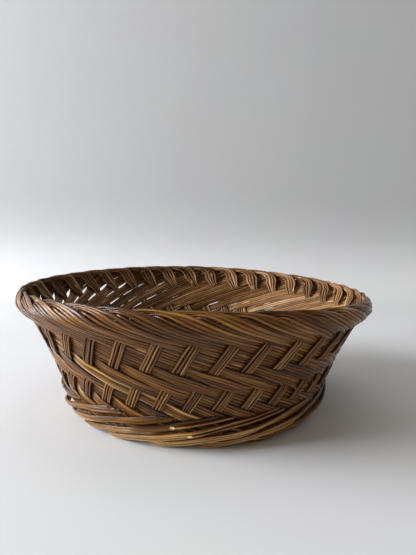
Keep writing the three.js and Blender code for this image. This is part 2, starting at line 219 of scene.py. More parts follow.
@dataclass(frozen=True)
class StainedRattan:
    """Rattan, drawn round through a die and stained brown, with more or less varnish brushed over it.

    The eye sees straight fibres along each rod, one rod darker than the next where the stain took more,
    stain and painted shade in the grooves between rods, and a soft gleam on every crown that has varnish.
    """

    name: str
    stain: tuple[tuple[float, str], ...]
    fibre_mm: float = 0.42
    fibre_length_mm: float = 14.0
    fibre_relief_mm: float = 0.12
    fibre_contrast: float = 0.55
    blotch_mm: float = 32.0
    blotches_across: float = 0.12
    blotch_contrast: float = 0.6
    # How much the grooves between rods darken: part stain gathered there, part painted shade
    pooled_stain: float = 0.9
    roughness: tuple[float, float] = (0.34, 0.62)
    varnish: float = 0.45
    varnish_roughness: float = 0.17

    def material(self) -> bpy.types.Material:
        """Builds the node material.

        Returns:
            The finished material.
        """
        material, tree = new_tree(self.name)
        run = add_node(tree, "ShaderNodeAttribute", {"attribute_name": "rod_run"})
        tone = add_node(tree, "ShaderNodeAttribute", {"attribute_name": "rod_tone"})
        groove = add_node(tree, "ShaderNodeAttribute", {"attribute_name": "rod_groove_stain_and_shade"})

        # Fibres run the length of the rod. They are drawn about three times as coarse as in real rattan
        # core, where they are about 0.15 mm wide, so that they show at the distance of the photograph.
        around = 1.0 / self.fibre_mm
        stretch = add_node(tree, "ShaderNodeVectorMath", {"operation": "MULTIPLY"}, {
            0: run.outputs["Vector"],
            1: (around, around, 1.0 / self.fibre_length_mm),
        })
        fibre = add_node(tree, "ShaderNodeTexNoise", {}, {
            "Vector": stretch.outputs[0], "Scale": 1.0, "Detail": 3.0, "Roughness": 0.6,
        })

        # The stain takes unevenly over a few centimetres of each rod.
        spread = add_node(tree, "ShaderNodeVectorMath", {"operation": "MULTIPLY"}, {
            0: run.outputs["Vector"],
            1: (self.blotches_across, self.blotches_across, 1.0 / self.blotch_mm),
        })
        blotch = add_node(tree, "ShaderNodeTexNoise", {}, {
            "Vector": spread.outputs[0], "Scale": 1.0, "Detail": 2.0, "Roughness": 0.55,
        })

        # Fibres, blotches and the darkening in the grooves, stain gathered there and painted shade, shift
        # the rod's own tone along the scale of the stain.
        fibre_part = add_node(tree, "ShaderNodeMath", {"operation": "MULTIPLY_ADD"}, {
            0: fibre.outputs["Fac"], 1: self.fibre_contrast, 2: -self.fibre_contrast / 2.0,
        })
        blotch_part = add_node(tree, "ShaderNodeMath", {"operation": "MULTIPLY_ADD"}, {
            0: blotch.outputs["Fac"], 1: self.blotch_contrast, 2: -self.blotch_contrast / 2.0,
        })
        uneven = add_node(tree, "ShaderNodeMath", {"operation": "ADD"}, {
            0: fibre_part.outputs[0], 1: blotch_part.outputs[0],
        })
        toned = add_node(tree, "ShaderNodeMath", {"operation": "ADD"}, {
            0: tone.outputs["Fac"], 1: uneven.outputs[0],
        })
        # Painted shade and gathered stain darken the flanks of each rod where it lies against the next.
        pooled = add_node(tree, "ShaderNodeMath", {"operation": "MULTIPLY_ADD"}, {
            0: groove.outputs["Fac"], 1: -self.pooled_stain, 2: toned.outputs[0],
        })
        ramp = add_node(tree, "ShaderNodeValToRGB", {}, {"Fac": pooled.outputs[0]})
        stops = ramp.color_ramp.elements
        while len(stops) < len(self.stain):
            stops.new(0.5)
        for stop, (place, code) in zip(stops, self.stain):
            stop.position = place
            stop.color = linear_colour(code)

        shine = add_node(tree, "ShaderNodeMapRange", {}, {
            "Value": blotch.outputs["Fac"],
            "From Min": 0.3, "From Max": 0.7,
            "To Min": self.roughness[0], "To Max": self.roughness[1],
        })
        ridges = add_node(tree, "ShaderNodeBump", {}, {
            "Strength": 0.35, "Distance": self.fibre_relief_mm * MM, "Height": fibre.outputs["Fac"],
        })
        shader = add_node(tree, "ShaderNodeBsdfPrincipled", {}, {
            "Base Color": ramp.outputs["Color"],
            "Roughness": shine.outputs["Result"],
            "IOR": 1.5,
            "Specular IOR Level": 0.1,
            "Coat Weight": self.varnish,
            "Coat Roughness": self.varnish_roughness,
            "Normal": ridges.outputs["Normal"],
        })
        add_node(tree, "ShaderNodeOutputMaterial", {}, {"Surface": shader.outputs["BSDF"]})
        return material


@dataclass(frozen=True)
class CutRattan:
    """Rattan core cut across with side cutters after staining: pale, matt, full of open pores."""

    name: str = "rattan_core_cut_end"
    pith: str = "#D9BD93"
    pore: str = "#8A6842"
    pore_mm: float = 0.3

    def material(self) -> bpy.types.Material:
        """Builds the node material.

        Returns:
            The finished material.
        """
        material, tree = new_tree(self.name)
        place = add_node(tree, "ShaderNodeNewGeometry")
        # Pores of about 0.3 mm, close to the real ones.
        pores = add_node(tree, "ShaderNodeTexVoronoi", {}, {
            "Vector": place.outputs["Position"], "Scale": 1.0 / (self.pore_mm * MM),
        })
        colour = add_node(tree, "ShaderNodeMix", {"data_type": "RGBA"}, {
            "Factor": pores.outputs["Distance"],
            MIX_FROM: linear_colour(self.pore),
            MIX_TO: linear_colour(self.pith),
        })
        shader = add_node(tree, "ShaderNodeBsdfPrincipled", {}, {
            "Base Color": colour.outputs[MIX_RESULT], "Roughness": 0.8, "IOR": 1.5,
        })
        add_node(tree, "ShaderNodeOutputMaterial", {}, {"Surface": shader.outputs["BSDF"]})
        return material


@dataclass(frozen=True)
class PaleCotton:
    """Plain woven cotton sheeting, pressed flat: matt and nearly white, with painted shade that turns it
    greyer up the backdrop.
    """

    name: str
    lying: str
    hanging: str
    hang_from: float = 0.0
    hang_full: float = 0.2
    cloud_mm: float = 125.0
    unevenness: float = 0.06

    def material(self) -> bpy.types.Material:
        """Builds the node material.

        Returns:
            The finished material.
        """
        material, tree = new_tree(self.name)
        place = add_node(tree, "ShaderNodeNewGeometry")
        # Broad soft unevenness, about 125 mm across, as pressed sheeting has.
        cloud = add_node(tree, "ShaderNodeTexNoise", {}, {
            "Vector": place.outputs["Position"], "Scale": 1.0 / (self.cloud_mm * MM), "Detail": 2.0,
        })
        height = add_node(tree, "ShaderNodeSeparateXYZ", {}, {"Vector": place.outputs["Position"]})
        # Painted shade: the sheet turns greyer as it rises into the backdrop.
        painted_shade_share = add_node(tree, "ShaderNodeMapRange", {"interpolation_type": "SMOOTHSTEP"}, {
            "Value": height.outputs["Z"], "From Min": self.hang_from, "From Max": self.hang_full,
        })
        shade = add_node(tree, "ShaderNodeMix", {"data_type": "RGBA"}, {
            "Factor": painted_shade_share.outputs["Result"],
            MIX_FROM: linear_colour(self.lying),
            MIX_TO: linear_colour(self.hanging),
        })
        colour = add_node(tree, "ShaderNodeMix", {"data_type": "RGBA", "blend_type": "MULTIPLY"}, {
            "Factor": self.unevenness,
            MIX_FROM: shade.outputs[MIX_RESULT],
            MIX_TO: cloud.outputs["Color"],
        })
        shader = add_node(tree, "ShaderNodeBsdfPrincipled", {}, {
            "Base Color": colour.outputs[MIX_RESULT], "Roughness": 0.9, "IOR": 1.45,
        })
        add_node(tree, "ShaderNodeOutputMaterial", {}, {"Surface": shader.outputs["BSDF"]})
        return material


@dataclass(frozen=True)
class WallRow:
    """Places on the wall: their radius and height, the wall's lean, and the turns of the plait there."""

    radius: np.ndarray
    height: np.ndarray
    lean: np.ndarray
    sweep: np.ndarray
    upright: np.ndarray
    foot_crossing: np.ndarray


@dataclass
class PlaitedWall:
    """The bowl's meridian and the plait laid out on it, in millimetres and in counts of stakes."""

    # Rods, bands and base sticks
    rod: float = 1.7
    rods_per_band: int = 4
    band_gap: float = 1.2
    clearance: float = 0.35
    stick: float = 4.0

    # The meridian from the crest of the rim to the floor
    crest_radius: float = 129.0
    crest_height: float = 96.8
    shoulder_inset: float = 0.6
    shoulder_drop: float = 12.0
    waist_radius: float = 102.5
    waist_height: float = 28.0
    floor_radius: float = 82.5
    crest_curl: float = math.radians(8.0)
    wall_bow: float = math.radians(5.5)

    # The roll of the rim, its sag to both sides, and how much lower it is on the right
    rim_roll: float = 3.4
    rim_sag: float = 4.2
    rim_tilt: float = 2.3

    # The plait, its places counted in crossings from the rim down
    upright_lean: float = math.radians(27.0)
    stick_ends: int = 18
    crossings_per_level: tuple[int, ...] = (3, 3, 2, 2)
    pressed_from: float = 1.15
    crest_press: float = 0.5
    crest_lift: float = 0.28
    climb_below: float = 0.3

    # The bend into the base, and the strands of the foot
    base_bend: float = 10.0
    gathered_width: float = 5.4
    strand_gap: float = 2.8
    bands_per_strand: int = 2
    foot_slack: float = 1.2

    # The table that places on the wall are read from
    table_step: float = 0.25
    above_crest: float = 24.0
    curve_points: int = 161
    table: dict[str, np.ndarray] = field(default_factory=dict)

    def __post_init__(self) -> None:
        """Works out the sizes that follow from the fields."""
        self.stake_count = 2 * self.stick_ends
        self.stake_step = 2.0 * math.pi / self.stake_count
        self.band = self.rod * self.rods_per_band
        self.sweep_pitch = self.band + self.band_gap
        self.layer = self.rod + self.clearance
        self.sweep_half = self.band / (2.0 * self.sweep_pitch)
        self.gathered_depth = self.band * self.rod / self.gathered_width
        self.rise_pitch = (self.gathered_width + self.strand_gap) / self.bands_per_strand
        self.rise_half = self.gathered_width / (2.0 * self.rise_pitch)
        self.gathered_half = self.gathered_width / (2.0 * self.sweep_pitch)
        self.foot_layer = self.gathered_depth + self.foot_slack * self.clearance
        ends = np.cumsum(self.crossings_per_level) + 0.5
        self.level_ends = [float(end) for end in ends]
        self._lay_out_table()
        self._place_base()

    def _lay_out_table(self) -> None:
        """Walks down the meridian and counts the turns of sweeps, uprights and rising bands."""
        crest = np.array([self.crest_radius, self.crest_height])
        waist = np.array([self.waist_radius, self.waist_height])
        floor = np.array([self.floor_radius, 0.0])
        shoulder = crest - np.array([self.shoulder_inset, self.shoulder_drop])
        crest_way = np.array([math.sin(self.crest_curl), -math.cos(self.crest_curl)])
        flare = math.atan2(shoulder[0] - waist[0], shoulder[1] - waist[1])
        wall_way = -np.array([math.sin(flare + self.wall_bow), math.cos(flare + self.wall_bow)])
        waist_way = -np.array([math.sin(flare - self.wall_bow), math.cos(flare - self.wall_bow)])
        rim_bend = cross_point(crest, crest_way, shoulder, wall_way)
        wall_bend = cross_point(shoulder, wall_way, waist, waist_way)
        foot_bend = waist + waist_way * self.waist_height / 2.0
        onward = (floor - foot_bend) / np.linalg.norm(floor - foot_bend)
        share = np.linspace(0.0, 1.0, self.curve_points)[:, None]
        lines = [
            crest - crest_way * self.above_crest * (1.0 - share),
            crest * (1 - share) ** 2 + 2 * rim_bend * share * (1 - share) + shoulder * share**2,
            shoulder * (1 - share) ** 2 + 2 * wall_bend * share * (1 - share) + waist * share**2,
            waist * (1 - share) ** 2 + 2 * foot_bend * share * (1 - share) + floor * share**2,
            floor + onward * self.above_crest * share,
        ]
        fine = np.concatenate(lines)
        walked = np.concatenate([[0.0], np.cumsum(np.linalg.norm(np.diff(fine, axis=0), axis=1))])
        walked -= self.above_crest
        down = np.arange(walked[0], walked[-1], self.table_step)
        radius = np.interp(down, walked, fine[:, 0])
        height = np.interp(down, walked, fine[:, 1])
        before = np.maximum(np.arange(len(down)) - 1, 0)
        after = np.minimum(np.arange(len(down)) + 1, len(down) - 1)
        room = self.stake_step * radius
        rates = {
            "sweep": 1.0 / np.tan(np.arcsin(self.sweep_pitch / room)) / room,
            "upright": math.tan(self.upright_lean) / room,
            "rise": 1.0 / np.tan(np.arcsin(self.rise_pitch / room)) / room,
        }
        self.table = {"down": down, "radius": radius, "height": height}
        self.table["lean"] = np.arctan2(radius[before] - radius[after], height[before] - height[after])
        for name, rate in rates.items():
            steps = self.table_step * (rate[1:] + rate[:-1]) / 2.0
            turned = np.concatenate([[0.0], np.cumsum(steps)])
            self.table[name] = turned - np.interp(0.0, down, turned)
        self.table["crossing"] = self.table["sweep"] + self.table["upright"]
        self.table["foot_crossing"] = self.table["sweep"] + self.table["rise"]
        self._press_crest()

    def _press_crest(self) -> None:
        """Crowds the bands together at the crest, and spaces out the rest of the first level."""
        crossing = self.table["crossing"]
        level_end = self.level_ends[0]
        lifted = self.crest_lift * ((level_end - crossing) / (level_end - self.pressed_from)) ** 2
        crowded = self.pressed_from - self.crest_lift + (crossing - self.pressed_from) * self.crest_press
        pressed = np.where(crossing < self.pressed_from, crowded, crossing - lifted)
        pressed = np.where(crossing > level_end, crossing, pressed)
        down = np.interp(pressed, crossing, self.table["down"])
        for name in ("radius", "height", "lean"):
            self.table[name] = np.interp(down, self.table["down"], self.table[name])

    def _place_base(self) -> None:
        """Finds the plane of the base, the bend into the wall and the roots of the stakes."""
        self.last_crossing = self.level_ends[-1]
        self.climb_start = self.last_crossing + self.climb_below
        self.sweep_stop = self.last_crossing + 1.0
        self.base_row = self.row_at("crossing", self.climb_start)
        lean = float(self.base_row.lean[0])
        side = -self.layer / 2.0 / math.cos(lean)
        base_radius = float(self.base_row.radius[0])
        self.bend_radius = base_radius + side - self.base_bend * math.cos(lean)
        self.bend_height = float(self.base_row.height[0]) + self.base_bend * math.sin(lean)
        self.base_plane = self.bend_height - self.base_bend
        self.bend_sweep = math.pi / 2.0 - lean
        tilt = math.tan(self.upright_lean)
        self.bend_turn = tilt * self.base_bend * self.bend_sweep / 2.0 / base_radius
        self.root_angle = float(self.base_row.upright[0]) * self.stake_step + self.bend_turn
        room = self.band / 2.0 + self.stick / 2.0 + self.clearance
        self.root_radius = room / math.sin(self.stake_step / 2.0)

    def row_at(self, column: str, value: np.ndarray | float) -> WallRow:
        """Finds places on the wall by the value of a column that grows down the wall.

        Args:
            column: The column's name.
            value: One value or an array of them.

        Returns:
            The wall there.
        """
        asked = np.atleast_1d(np.asarray(value, dtype=float))
        down = np.interp(asked, self.table[column], self.table["down"])
        names = WallRow.__dataclass_fields__
        return WallRow(**{name: np.interp(down, self.table["down"], self.table[name]) for name in names})

    def upright_half(self, crossing: np.ndarray | float) -> np.ndarray:
        """Half an upright's width, counted in stakes round the wall.

        Args:
            crossing: One crossing number or an array of them.

        Returns:
            One half width per crossing.
        """
        row = self.row_at("crossing", crossing)
        return self.band / (2.0 * self.stake_step * row.radius * math.cos(self.upright_lean))

    def point(self, radius: np.ndarray, angle: np.ndarray, height: np.ndarray) -> np.ndarray:
        """Points of the basket from their radius, angle and height, with the sag of the rim.

        Args:
            radius: Distances from the axis.
            angle: Angles round the axis.
            height: Heights above the floor.

        Returns:
            One row of three numbers per point.
        """
        uneven = self.rim_sag * np.cos(angle) ** 2 + self.rim_tilt * np.cos(angle)
        sag = uneven * (height / self.crest_height) ** 3
        return np.stack([radius * np.cos(angle), radius * np.sin(angle), height - sag], axis=1)

    def on_wall(self, row: WallRow, offset: np.ndarray, angle: np.ndarray) -> np.ndarray:
        """Points at a distance outside the middle of the wall's thickness.

        Args:
            row: The places on the wall.
            offset: How far outside the middle each point lies, inside where it is negative.
            angle: Angles round the axis.

        Returns:
            One point per place.
        """
        return self.point(row.radius + offset / np.cos(row.lean), angle, row.height)

    def level_side(self, crossing: np.ndarray, ease: float, first: WallFace) -> np.ndarray:
        """The side that a band is on, from 1 outside to -1 inside, changing at the end of each level.

        Args:
            crossing: Crossing numbers along the band.
            ease: Half the length of a change, in crossings.
            first: The side at the rim.

        Returns:
            One side per crossing.
        """
        side = np.full_like(crossing, first.value)
        flip = -2.0 * first.value
        for end in self.level_ends:
            side += flip * smooth_step(end - ease, end + ease, crossing)
            flip = -flip
        return side


@dataclass(frozen=True)
class RodFinish:
    """The materials of a piece made of rods."""

    outside: bpy.types.Material
    inside: bpy.types.Material
    cut: bpy.types.Material


@dataclass
class RodMesh:
    """Collects round rods and turns them into one mesh with the coordinates that the finish reads."""

    sides: int = 8

    # How far inwards a face has to look to count as an inner one, and the least height above the floor
    inside_from: float = -0.3
    floor_clear: float = 0.04

    # The grain's own space, where every rod is as thick as the next and far from it
    grain_radius: float = 0.85
    grain_apart: float = 1000.0

    # What has been gathered so far
    points: list[np.ndarray] = field(default_factory=list)
    runs: list[np.ndarray] = field(default_factory=list)
    tones: list[np.ndarray] = field(default_factory=list)
    grooves: list[np.ndarray] = field(default_factory=list)
    faces: list[tuple[int, ...]] = field(default_factory=list)
    cut_faces: list[int] = field(default_factory=list)
    inside_faces: list[int] = field(default_factory=list)
    count: int = 0

    def add_rod(
        self,
        line: np.ndarray,
        beside: np.ndarray,
        radius: np.ndarray,
        tone: np.ndarray | float,
        seed: float,
        flat: np.ndarray | float = 1.0,
        groove: np.ndarray | float = 1.0,
        cut: RodCut = RodCut.ACROSS,
        paler_inside: float = 0.0,
    ) -> None:
        """Adds one round rod.

        Args:
            line: The rod's middle line in millimetres.
            beside: The direction towards the next rod of the band, one per point.
            radius: The rod's radius at each point.
            tone: How light the stain came out, from 0 to 1, at each point or everywhere.
            seed: Sets this rod's grain apart from the others'.
            flat: How many times wider the rod is than a round one, pressed flat against the wall, at each
                point or everywhere.
            groove: How strongly the flanks darken, with gathered stain and painted shade, at each point
                or everywhere.
            cut: How the near end was cut.
            paler_inside: How much lighter the rod is where it faces the inside of the basket.
        """
        ahead = np.gradient(line, axis=0)
        ahead /= np.linalg.norm(ahead, axis=1)[:, None]
        across = beside - np.sum(beside * ahead, axis=1)[:, None] * ahead
        across /= np.linalg.norm(across, axis=1)[:, None]
        upward = np.cross(ahead, across)
        steps = np.linalg.norm(np.diff(line, axis=0), axis=1)
        run = np.concatenate([[0.0], np.cumsum(steps)])
        turn = 2.0 * math.pi * (np.arange(self.sides) + 0.5) / self.sides
        cos, sin = np.cos(turn), np.sin(turn)
        wider = np.broadcast_to(flat, len(line))[:, None]
        ring = across[:, None, :] * (wider * cos)[:, :, None]
        ring = ring + upward[:, None, :] * (sin / wider**0.5)[:, :, None]
        body = line[:, None, :] + radius[:, None, None] * ring
        outside = line * np.array([1.0, 1.0, 0.0])
        outside /= np.linalg.norm(outside, axis=1)[:, None]
        facing = np.einsum("ijk,ik->ij", ring, outside)
        body[0] += np.outer(cut.value * radius[0] * facing[0], ahead[0])
        body[..., 2] = np.maximum(body[..., 2], self.floor_clear)
        count = len(line)
        grain = np.empty((count, self.sides, 3))
        grain[..., 0] = self.grain_radius * cos[None, :]
        grain[..., 1] = self.grain_radius * sin[None, :]
        grain[..., 2] = run[:, None] + self.grain_apart * seed
        self.points.append(body.reshape(-1, 3))
        self.runs.append(grain.reshape(-1, 3))
        tones = np.broadcast_to(tone, count)[:, None] + paler_inside * np.clip(-facing, 0.0, 1.0)
        self.tones.append(tones.ravel())
        # Stain gathers on the flanks and painted shade darkens them where rods lie together; both are
        # weaker on the faces that look inwards.
        inward = np.clip(-2.0 * facing, 0.0, 1.0)
        pooled = np.outer(np.broadcast_to(groove, count), cos**4)
        self.grooves.append((pooled * (1.0 - 0.5 * inward)).ravel())
        self._add_faces(facing, paler_inside > 0.0)

    def _add_faces(self, facing: np.ndarray, own_inside: bool) -> None:
        """Closes the rod whose points were added last, with a cut face at each end.

        Args:
            facing: How far each point looks outwards, from about 1 to about -1, one row per ring.
            own_inside: Whether the faces that look inwards have a finish of their own.
        """
        first = self.count
        count = len(facing)
        for i in range(count - 1):
            near = first + i * self.sides
            far = near + self.sides
            for k in range(self.sides):
                beyond = (k + 1) % self.sides
                inwards = (facing[i, k] + facing[i, beyond]) / 2.0 < self.inside_from
                if inwards and own_inside:
                    self.inside_faces.append(len(self.faces))
                self.faces.append((near + k, near + beyond, far + beyond, far + k))
        self.cut_faces.append(len(self.faces))
        self.faces.append(tuple(first + k for k in reversed(range(self.sides))))
        self.cut_faces.append(len(self.faces))
        self.faces.append(tuple(first + (count - 1) * self.sides + k for k in range(self.sides)))
        self.count += count * self.sides

    def piece(self, name: str, finish: RodFinish) -> bpy.types.Object:
        """Makes the Blender object.

        Args:
            name: The piece's name.
            finish: The materials of the rods.

        Returns:
            The new object, in the scene.
        """
        mesh = bpy.data.meshes.new(name)
        mesh.from_pydata((np.concatenate(self.points) * MM).tolist(), [], self.faces)
        for material in (finish.outside, finish.cut, finish.inside):
            mesh.materials.append(material)
        mesh.polygons.foreach_set("use_smooth", [True] * len(self.faces))
        for index in self.cut_faces:
            mesh.polygons[index].material_index = 1
            mesh.polygons[index].use_smooth = False
        for index in self.inside_faces:
            mesh.polygons[index].material_index = 2
        run = mesh.attributes.new("rod_run", "FLOAT_VECTOR", "POINT")
        run.data.foreach_set("vector", np.concatenate(self.runs).ravel())
        tone = mesh.attributes.new("rod_tone", "FLOAT", "POINT")
        tone.data.foreach_set("value", np.concatenate(self.tones))
        groove = mesh.attributes.new("rod_groove_stain_and_shade", "FLOAT", "POINT")
        groove.data.foreach_set("value", np.concatenate(self.grooves))
        mesh.validate()
        mesh.update()
        piece = bpy.data.objects.new(name, mesh)
        bpy.context.scene.collection.objects.link(piece)
        return piece


@dataclass(frozen=True)
class Band:
    """One stake's band: its place round the wall, and what its rods have in common along their way."""

    index: int
    stake: float
    under: bool
    run: np.ndarray
    drift: np.ndarray
    tone: float
    spread: np.ndarray
    sway: np.ndarray
    swell: np.ndarray


@dataclass
class Stakes:
    """The thirty-six bands that make wall, rim and foot, each of four round rods."""

    wall: PlaitedWall
    seed: int = 27

    # The turn over the rim, in stakes and crossings
    rim_back: float = 1.6
    rim_ahead: float = 1.0
    rim_crossing: float = 0.6
    rim_clear: float = 0.98
    roll_start: float = 0.7

    # The foot: how far its strands run, in stakes, how they turn and tuck in, and by how many layers
    # they stand out
    foot_stakes: float = 10.6
    under_stakes: float = 5.2
    shortest_reach: float = 0.93
    foot_turn: float = 0.55
    flat_bend: float = math.pi / 13.0
    foot_tuck: float = 0.25
    tuck_depth: float = 1.7
    hug: float = 0.6
    ramp_rise: float = 1.02
    under_layers: float = 1.16
    resting_layers: float = 1.15
    settle_slope: float = 0.8

    # Where along the foot the rods gather, thin out and tuck in, as shares of the stretch
    gather_from: float = 0.3
    thin_from: float = 0.45
    tuck_from: float = 0.72

    # How long a band takes to change sides, in crossings
    upright_ease: float = 0.35
    sweep_ease: float = 0.42

    # Samples along each stretch, and passes that ease a line or its profile
    root_steps: int = 4
    bend_steps: int = 6
    upright_steps: int = 60
    turn_steps: int = 22
    sweep_steps: int = 74
    foot_steps: int = 18
    foot_turn_steps: int = 9
    rise_steps: int = 44
    line_easing: int = 2
    profile_easing: int = 4

    # How far the rods of a band are spread: wide where the plait is closed, less where it lets light in
    tight: float = 1.2
    loose: float = 1.03
    loose_towards: float = math.radians(152.0)
    loose_reach: float = math.radians(52.0)
    loose_least: float = 0.55
    loose_crossings: tuple[float, float] = (1.4, 2.6)
    pinch: float = 0.5
    pinch_reach: tuple[float, float] = (0.15, 0.8)
    fan: float = 1.6
    fan_start: float = 3.4
    fan_closes: tuple[float, float] = (0.1, 0.7)
    leaf: float = 0.36
    leaf_climb: float = 1.4
    leaf_end: float = 1.85
    foot_spread: float = 1.2

    # How the rods are shaped: wider than round where they are pressed, and tilted within their band
    flat: float = 1.36
    upright_flat: float = 1.04
    spread_cover: float = 0.92
    least_cover: float = 1.04
    measured_every: int = 4
    band_tilt: float = 0.42
    rod_sizes: tuple[float, float] = (0.94, 1.08)
    rod_swell: float = 0.03
    nudge: float = 0.05

    # The drift of handwork, with the lengths of its waves in millimetres
    rod_length: float = 640.0
    band_drift: float = 0.09
    band_wave: float = 170.0
    rod_drift: float = 0.065
    rod_wave: float = 90.0
    depth_drift: float = 0.13
    depth_wave: float = 110.0
    upright_drift: float = 0.09
    strand_sway: float = 0.3
    sway_wave: float = 75.0
    strand_swell: float = 0.14
    swell_wave: float = 60.0
    sway_within: float = 0.25

    # Stain, wear, painted shade and painted light, as amounts of tone
    tone: float = 0.53
    band_tone: float = 0.05
    rod_tone: float = 0.095
    tones: tuple[float, float] = (0.12, 0.95)
    upright_tone: float = 0.07
    # Darkening of the grooves near the rim and on the foot, part stain and part painted shade
    close_groove: float = 0.6
    foot_groove: float = 0.8
    # The foot is lighter, partly from wear on the floor and partly painted light standing in for the
    # light that the floor throws back onto it
    foot_wear: float = 0.38
    paler_inside: float = 0.16
    scuff: float = 0.34
    scuff_length: float = 5.0
    scuff_core: float = 0.3
    scuff_share: float = 0.3
    most_scuffs: int = 3
    scuffed: tuple[float, float] = (150.0, 600.0)
    grain_apart: float = 7.0

    # Rods let in on the foot while plaiting: their stakes and the steps of the rise where they start
    let_in: tuple[tuple[int, int], ...] = ((6, 30), (8, 21), (16, 26), (22, 20), (28, 28), (34, 24))
    let_in_across: float = 0.1
    let_in_lift: float = 0.7
    let_in_radius: float = 0.55
    let_in_tone: float = 0.72
    let_in_paler: float = 0.28
    let_in_fade: tuple[float, float] = (3.0, 12.0)
    let_in_grain: float = 300.0

    def __post_init__(self) -> None:
        """Works out the turns, the stretches of a stake's way and how the rods lie along it."""
        self._plan_turns()
        self._plan_stretches()
        self._plan_rods()
        self.room = self._room()

    def _plan_turns(self) -> None:
        """Works out the turns at the rim and in the foot, and the layers of the foot's strands."""
        wall = self.wall
        self.rim_half = float(wall.upright_half(self.rim_crossing)[0])
        next_turn = math.asin((self.rim_back - 1.0 - wall.sweep_half) / (self.rim_back + wall.sweep_half))
        next_edge = (self.rim_ahead + self.rim_half) * math.cos(next_turn)
        self.rim_outside = self.rim_clear + self.rim_ahead - next_edge
        self.turn_down = wall.gathered_half + self.foot_turn
        self.turn_up = wall.rise_half + self.foot_turn
        down = self.turn_down + wall.gathered_half
        up = self.turn_up + wall.rise_half
        floor = float(np.interp(0.0, -wall.table["height"], wall.table["foot_crossing"]))
        corner = math.hypot(down, up) * math.cos(self.flat_bend)
        self.foot_reach = floor + self.turn_down + self.turn_up - corner
        cross_half = wall.sweep_half + wall.rise_half
        self.ramp_start = cross_half - 2.0
        self.ramp_slope = self.ramp_rise / (3.0 - 2.0 * cross_half)
        self.strand_layers = self.under_layers + self.ramp_slope * (cross_half - 1.0 - self.ramp_start)

    def _plan_stretches(self) -> None:
        """Shares the samples out among the stretches, and counts the crossings along the wall."""
        wall = self.wall
        counts = (
            self.root_steps, self.bend_steps, self.upright_steps, self.turn_steps,
            self.sweep_steps, self.foot_steps, self.foot_turn_steps, self.rise_steps,
        )
        stops = np.cumsum(counts)
        self.parts = [slice(int(stop - count), int(stop)) for stop, count in zip(stops, counts)]
        self.samples = int(stops[-1])
        self.climb = np.linspace(wall.climb_start, self.rim_back, self.upright_steps, endpoint=False)
        self.descent = np.linspace(self.rim_ahead, wall.sweep_stop, self.sweep_steps, endpoint=False)
        self.bowed = np.sin(np.linspace(0.0, math.pi, self.upright_steps)) ** 0.5

    def _plan_rods(self) -> None:
        """Works out where the rods gather, stand out, darken in their grooves with stain and painted
        shade, and are pressed flat along their way.
        """
        part = self.parts
        into_foot = np.linspace(0.0, 1.0, self.foot_steps, endpoint=False)
        rising = np.linspace(0.0, 1.0, self.rise_steps)
        self.thinned = smooth_step(self.thin_from, 1.0, rising)
        self.tucked = smooth_step(self.tuck_from, 1.0, rising)
        self.gather = np.zeros(self.samples)
        self.gather[part[Stretch.FOOT]] = smooth_step(self.gather_from, 1.0, into_foot)
        self.gather[part[Stretch.FOOT_TURN]] = 1.0
        self.gather[part[Stretch.RISE]] = 1.0 - self.thinned
        self.outer = np.zeros(self.samples)
        side = self.wall.level_side(self.descent, self.sweep_ease, WallFace.OUTSIDE)
        self.outer[part[Stretch.SWEEP]] = np.maximum(side, 0.0)
        self.close = slice(part[Stretch.RIM_TURN].start, part[Stretch.FOOT].start)
        # How strongly the grooves darken along the way, with gathered stain and painted shade.
        pooled = np.ones(self.samples)
        pooled[self.close] = self.close_groove
        pooled[part[Stretch.FOOT].start:] = self.foot_groove
        self.pooled = eased(pooled, self.profile_easing)
        flatness = np.full(self.samples, self.flat)
        flatness[part[Stretch.UPRIGHT]] = self.upright_flat
        foot = slice(part[Stretch.FOOT_TURN].start, self.samples)
        flatness[foot] += (1.0 - self.flat) * self.gather[foot]
        self.flatness = eased(flatness, self.profile_easing)

    def _room(self) -> np.ndarray:
        """How wide the band lies along its way, against its plain width.

        The bands are crowded together where they turn over the crest, and draw apart again below it.

        Returns:
            Factors on the rods' widths, measured between two lines in the bands of some of the stakes.
        """
        wall = self.wall
        still = np.zeros(self.samples)
        half = np.full(self.samples, 0.5)
        widths = []
        for stake in range(0, wall.stake_count, self.measured_every):
            between = self.way(stake, False, half, still) - self.way(stake, False, -half, still)
            widths.append(np.linalg.norm(between, axis=1) * 2.0 / wall.rods_per_band / wall.rod)
        room = np.ones(self.samples)
        room[self.close] = self.least_cover * np.median(widths, axis=0)[self.close]
        return eased(room, self.line_easing)

    def way(
        self,
        stake: float,
        under: bool,
        across: np.ndarray,
        lift: np.ndarray,
        reach: float = 1.0,
    ) -> np.ndarray:
        """The line of one rod from its root to its end on the outside of the foot.

        Args:
            stake: The stake's place round the wall.
            under: Whether its band lies under the other one of its strand in the foot.
            across: The rod's place across the band, from -1 to 1, at each sample.
            lift: How far the rod stands out of its layer at each sample.
            reach: How much of the full way up the foot the rod goes.

        Returns:
            One point per sample.
        """
        part = self.parts
        lines = [
            self._root(stake, across[part[Stretch.ROOT]]),
            self._bend(stake, across[part[Stretch.BEND]]),
            self._upright(stake, across[part[Stretch.UPRIGHT]], lift[part[Stretch.UPRIGHT]]),
            self._rim_turn(stake, across[part[Stretch.RIM_TURN]], lift[part[Stretch.RIM_TURN]]),
            self._sweep(stake, across[part[Stretch.SWEEP]], lift[part[Stretch.SWEEP]]),
        ]
        lines += self._through_foot(stake, under, across, lift, reach)
        return eased(np.concatenate(lines), self.line_easing)

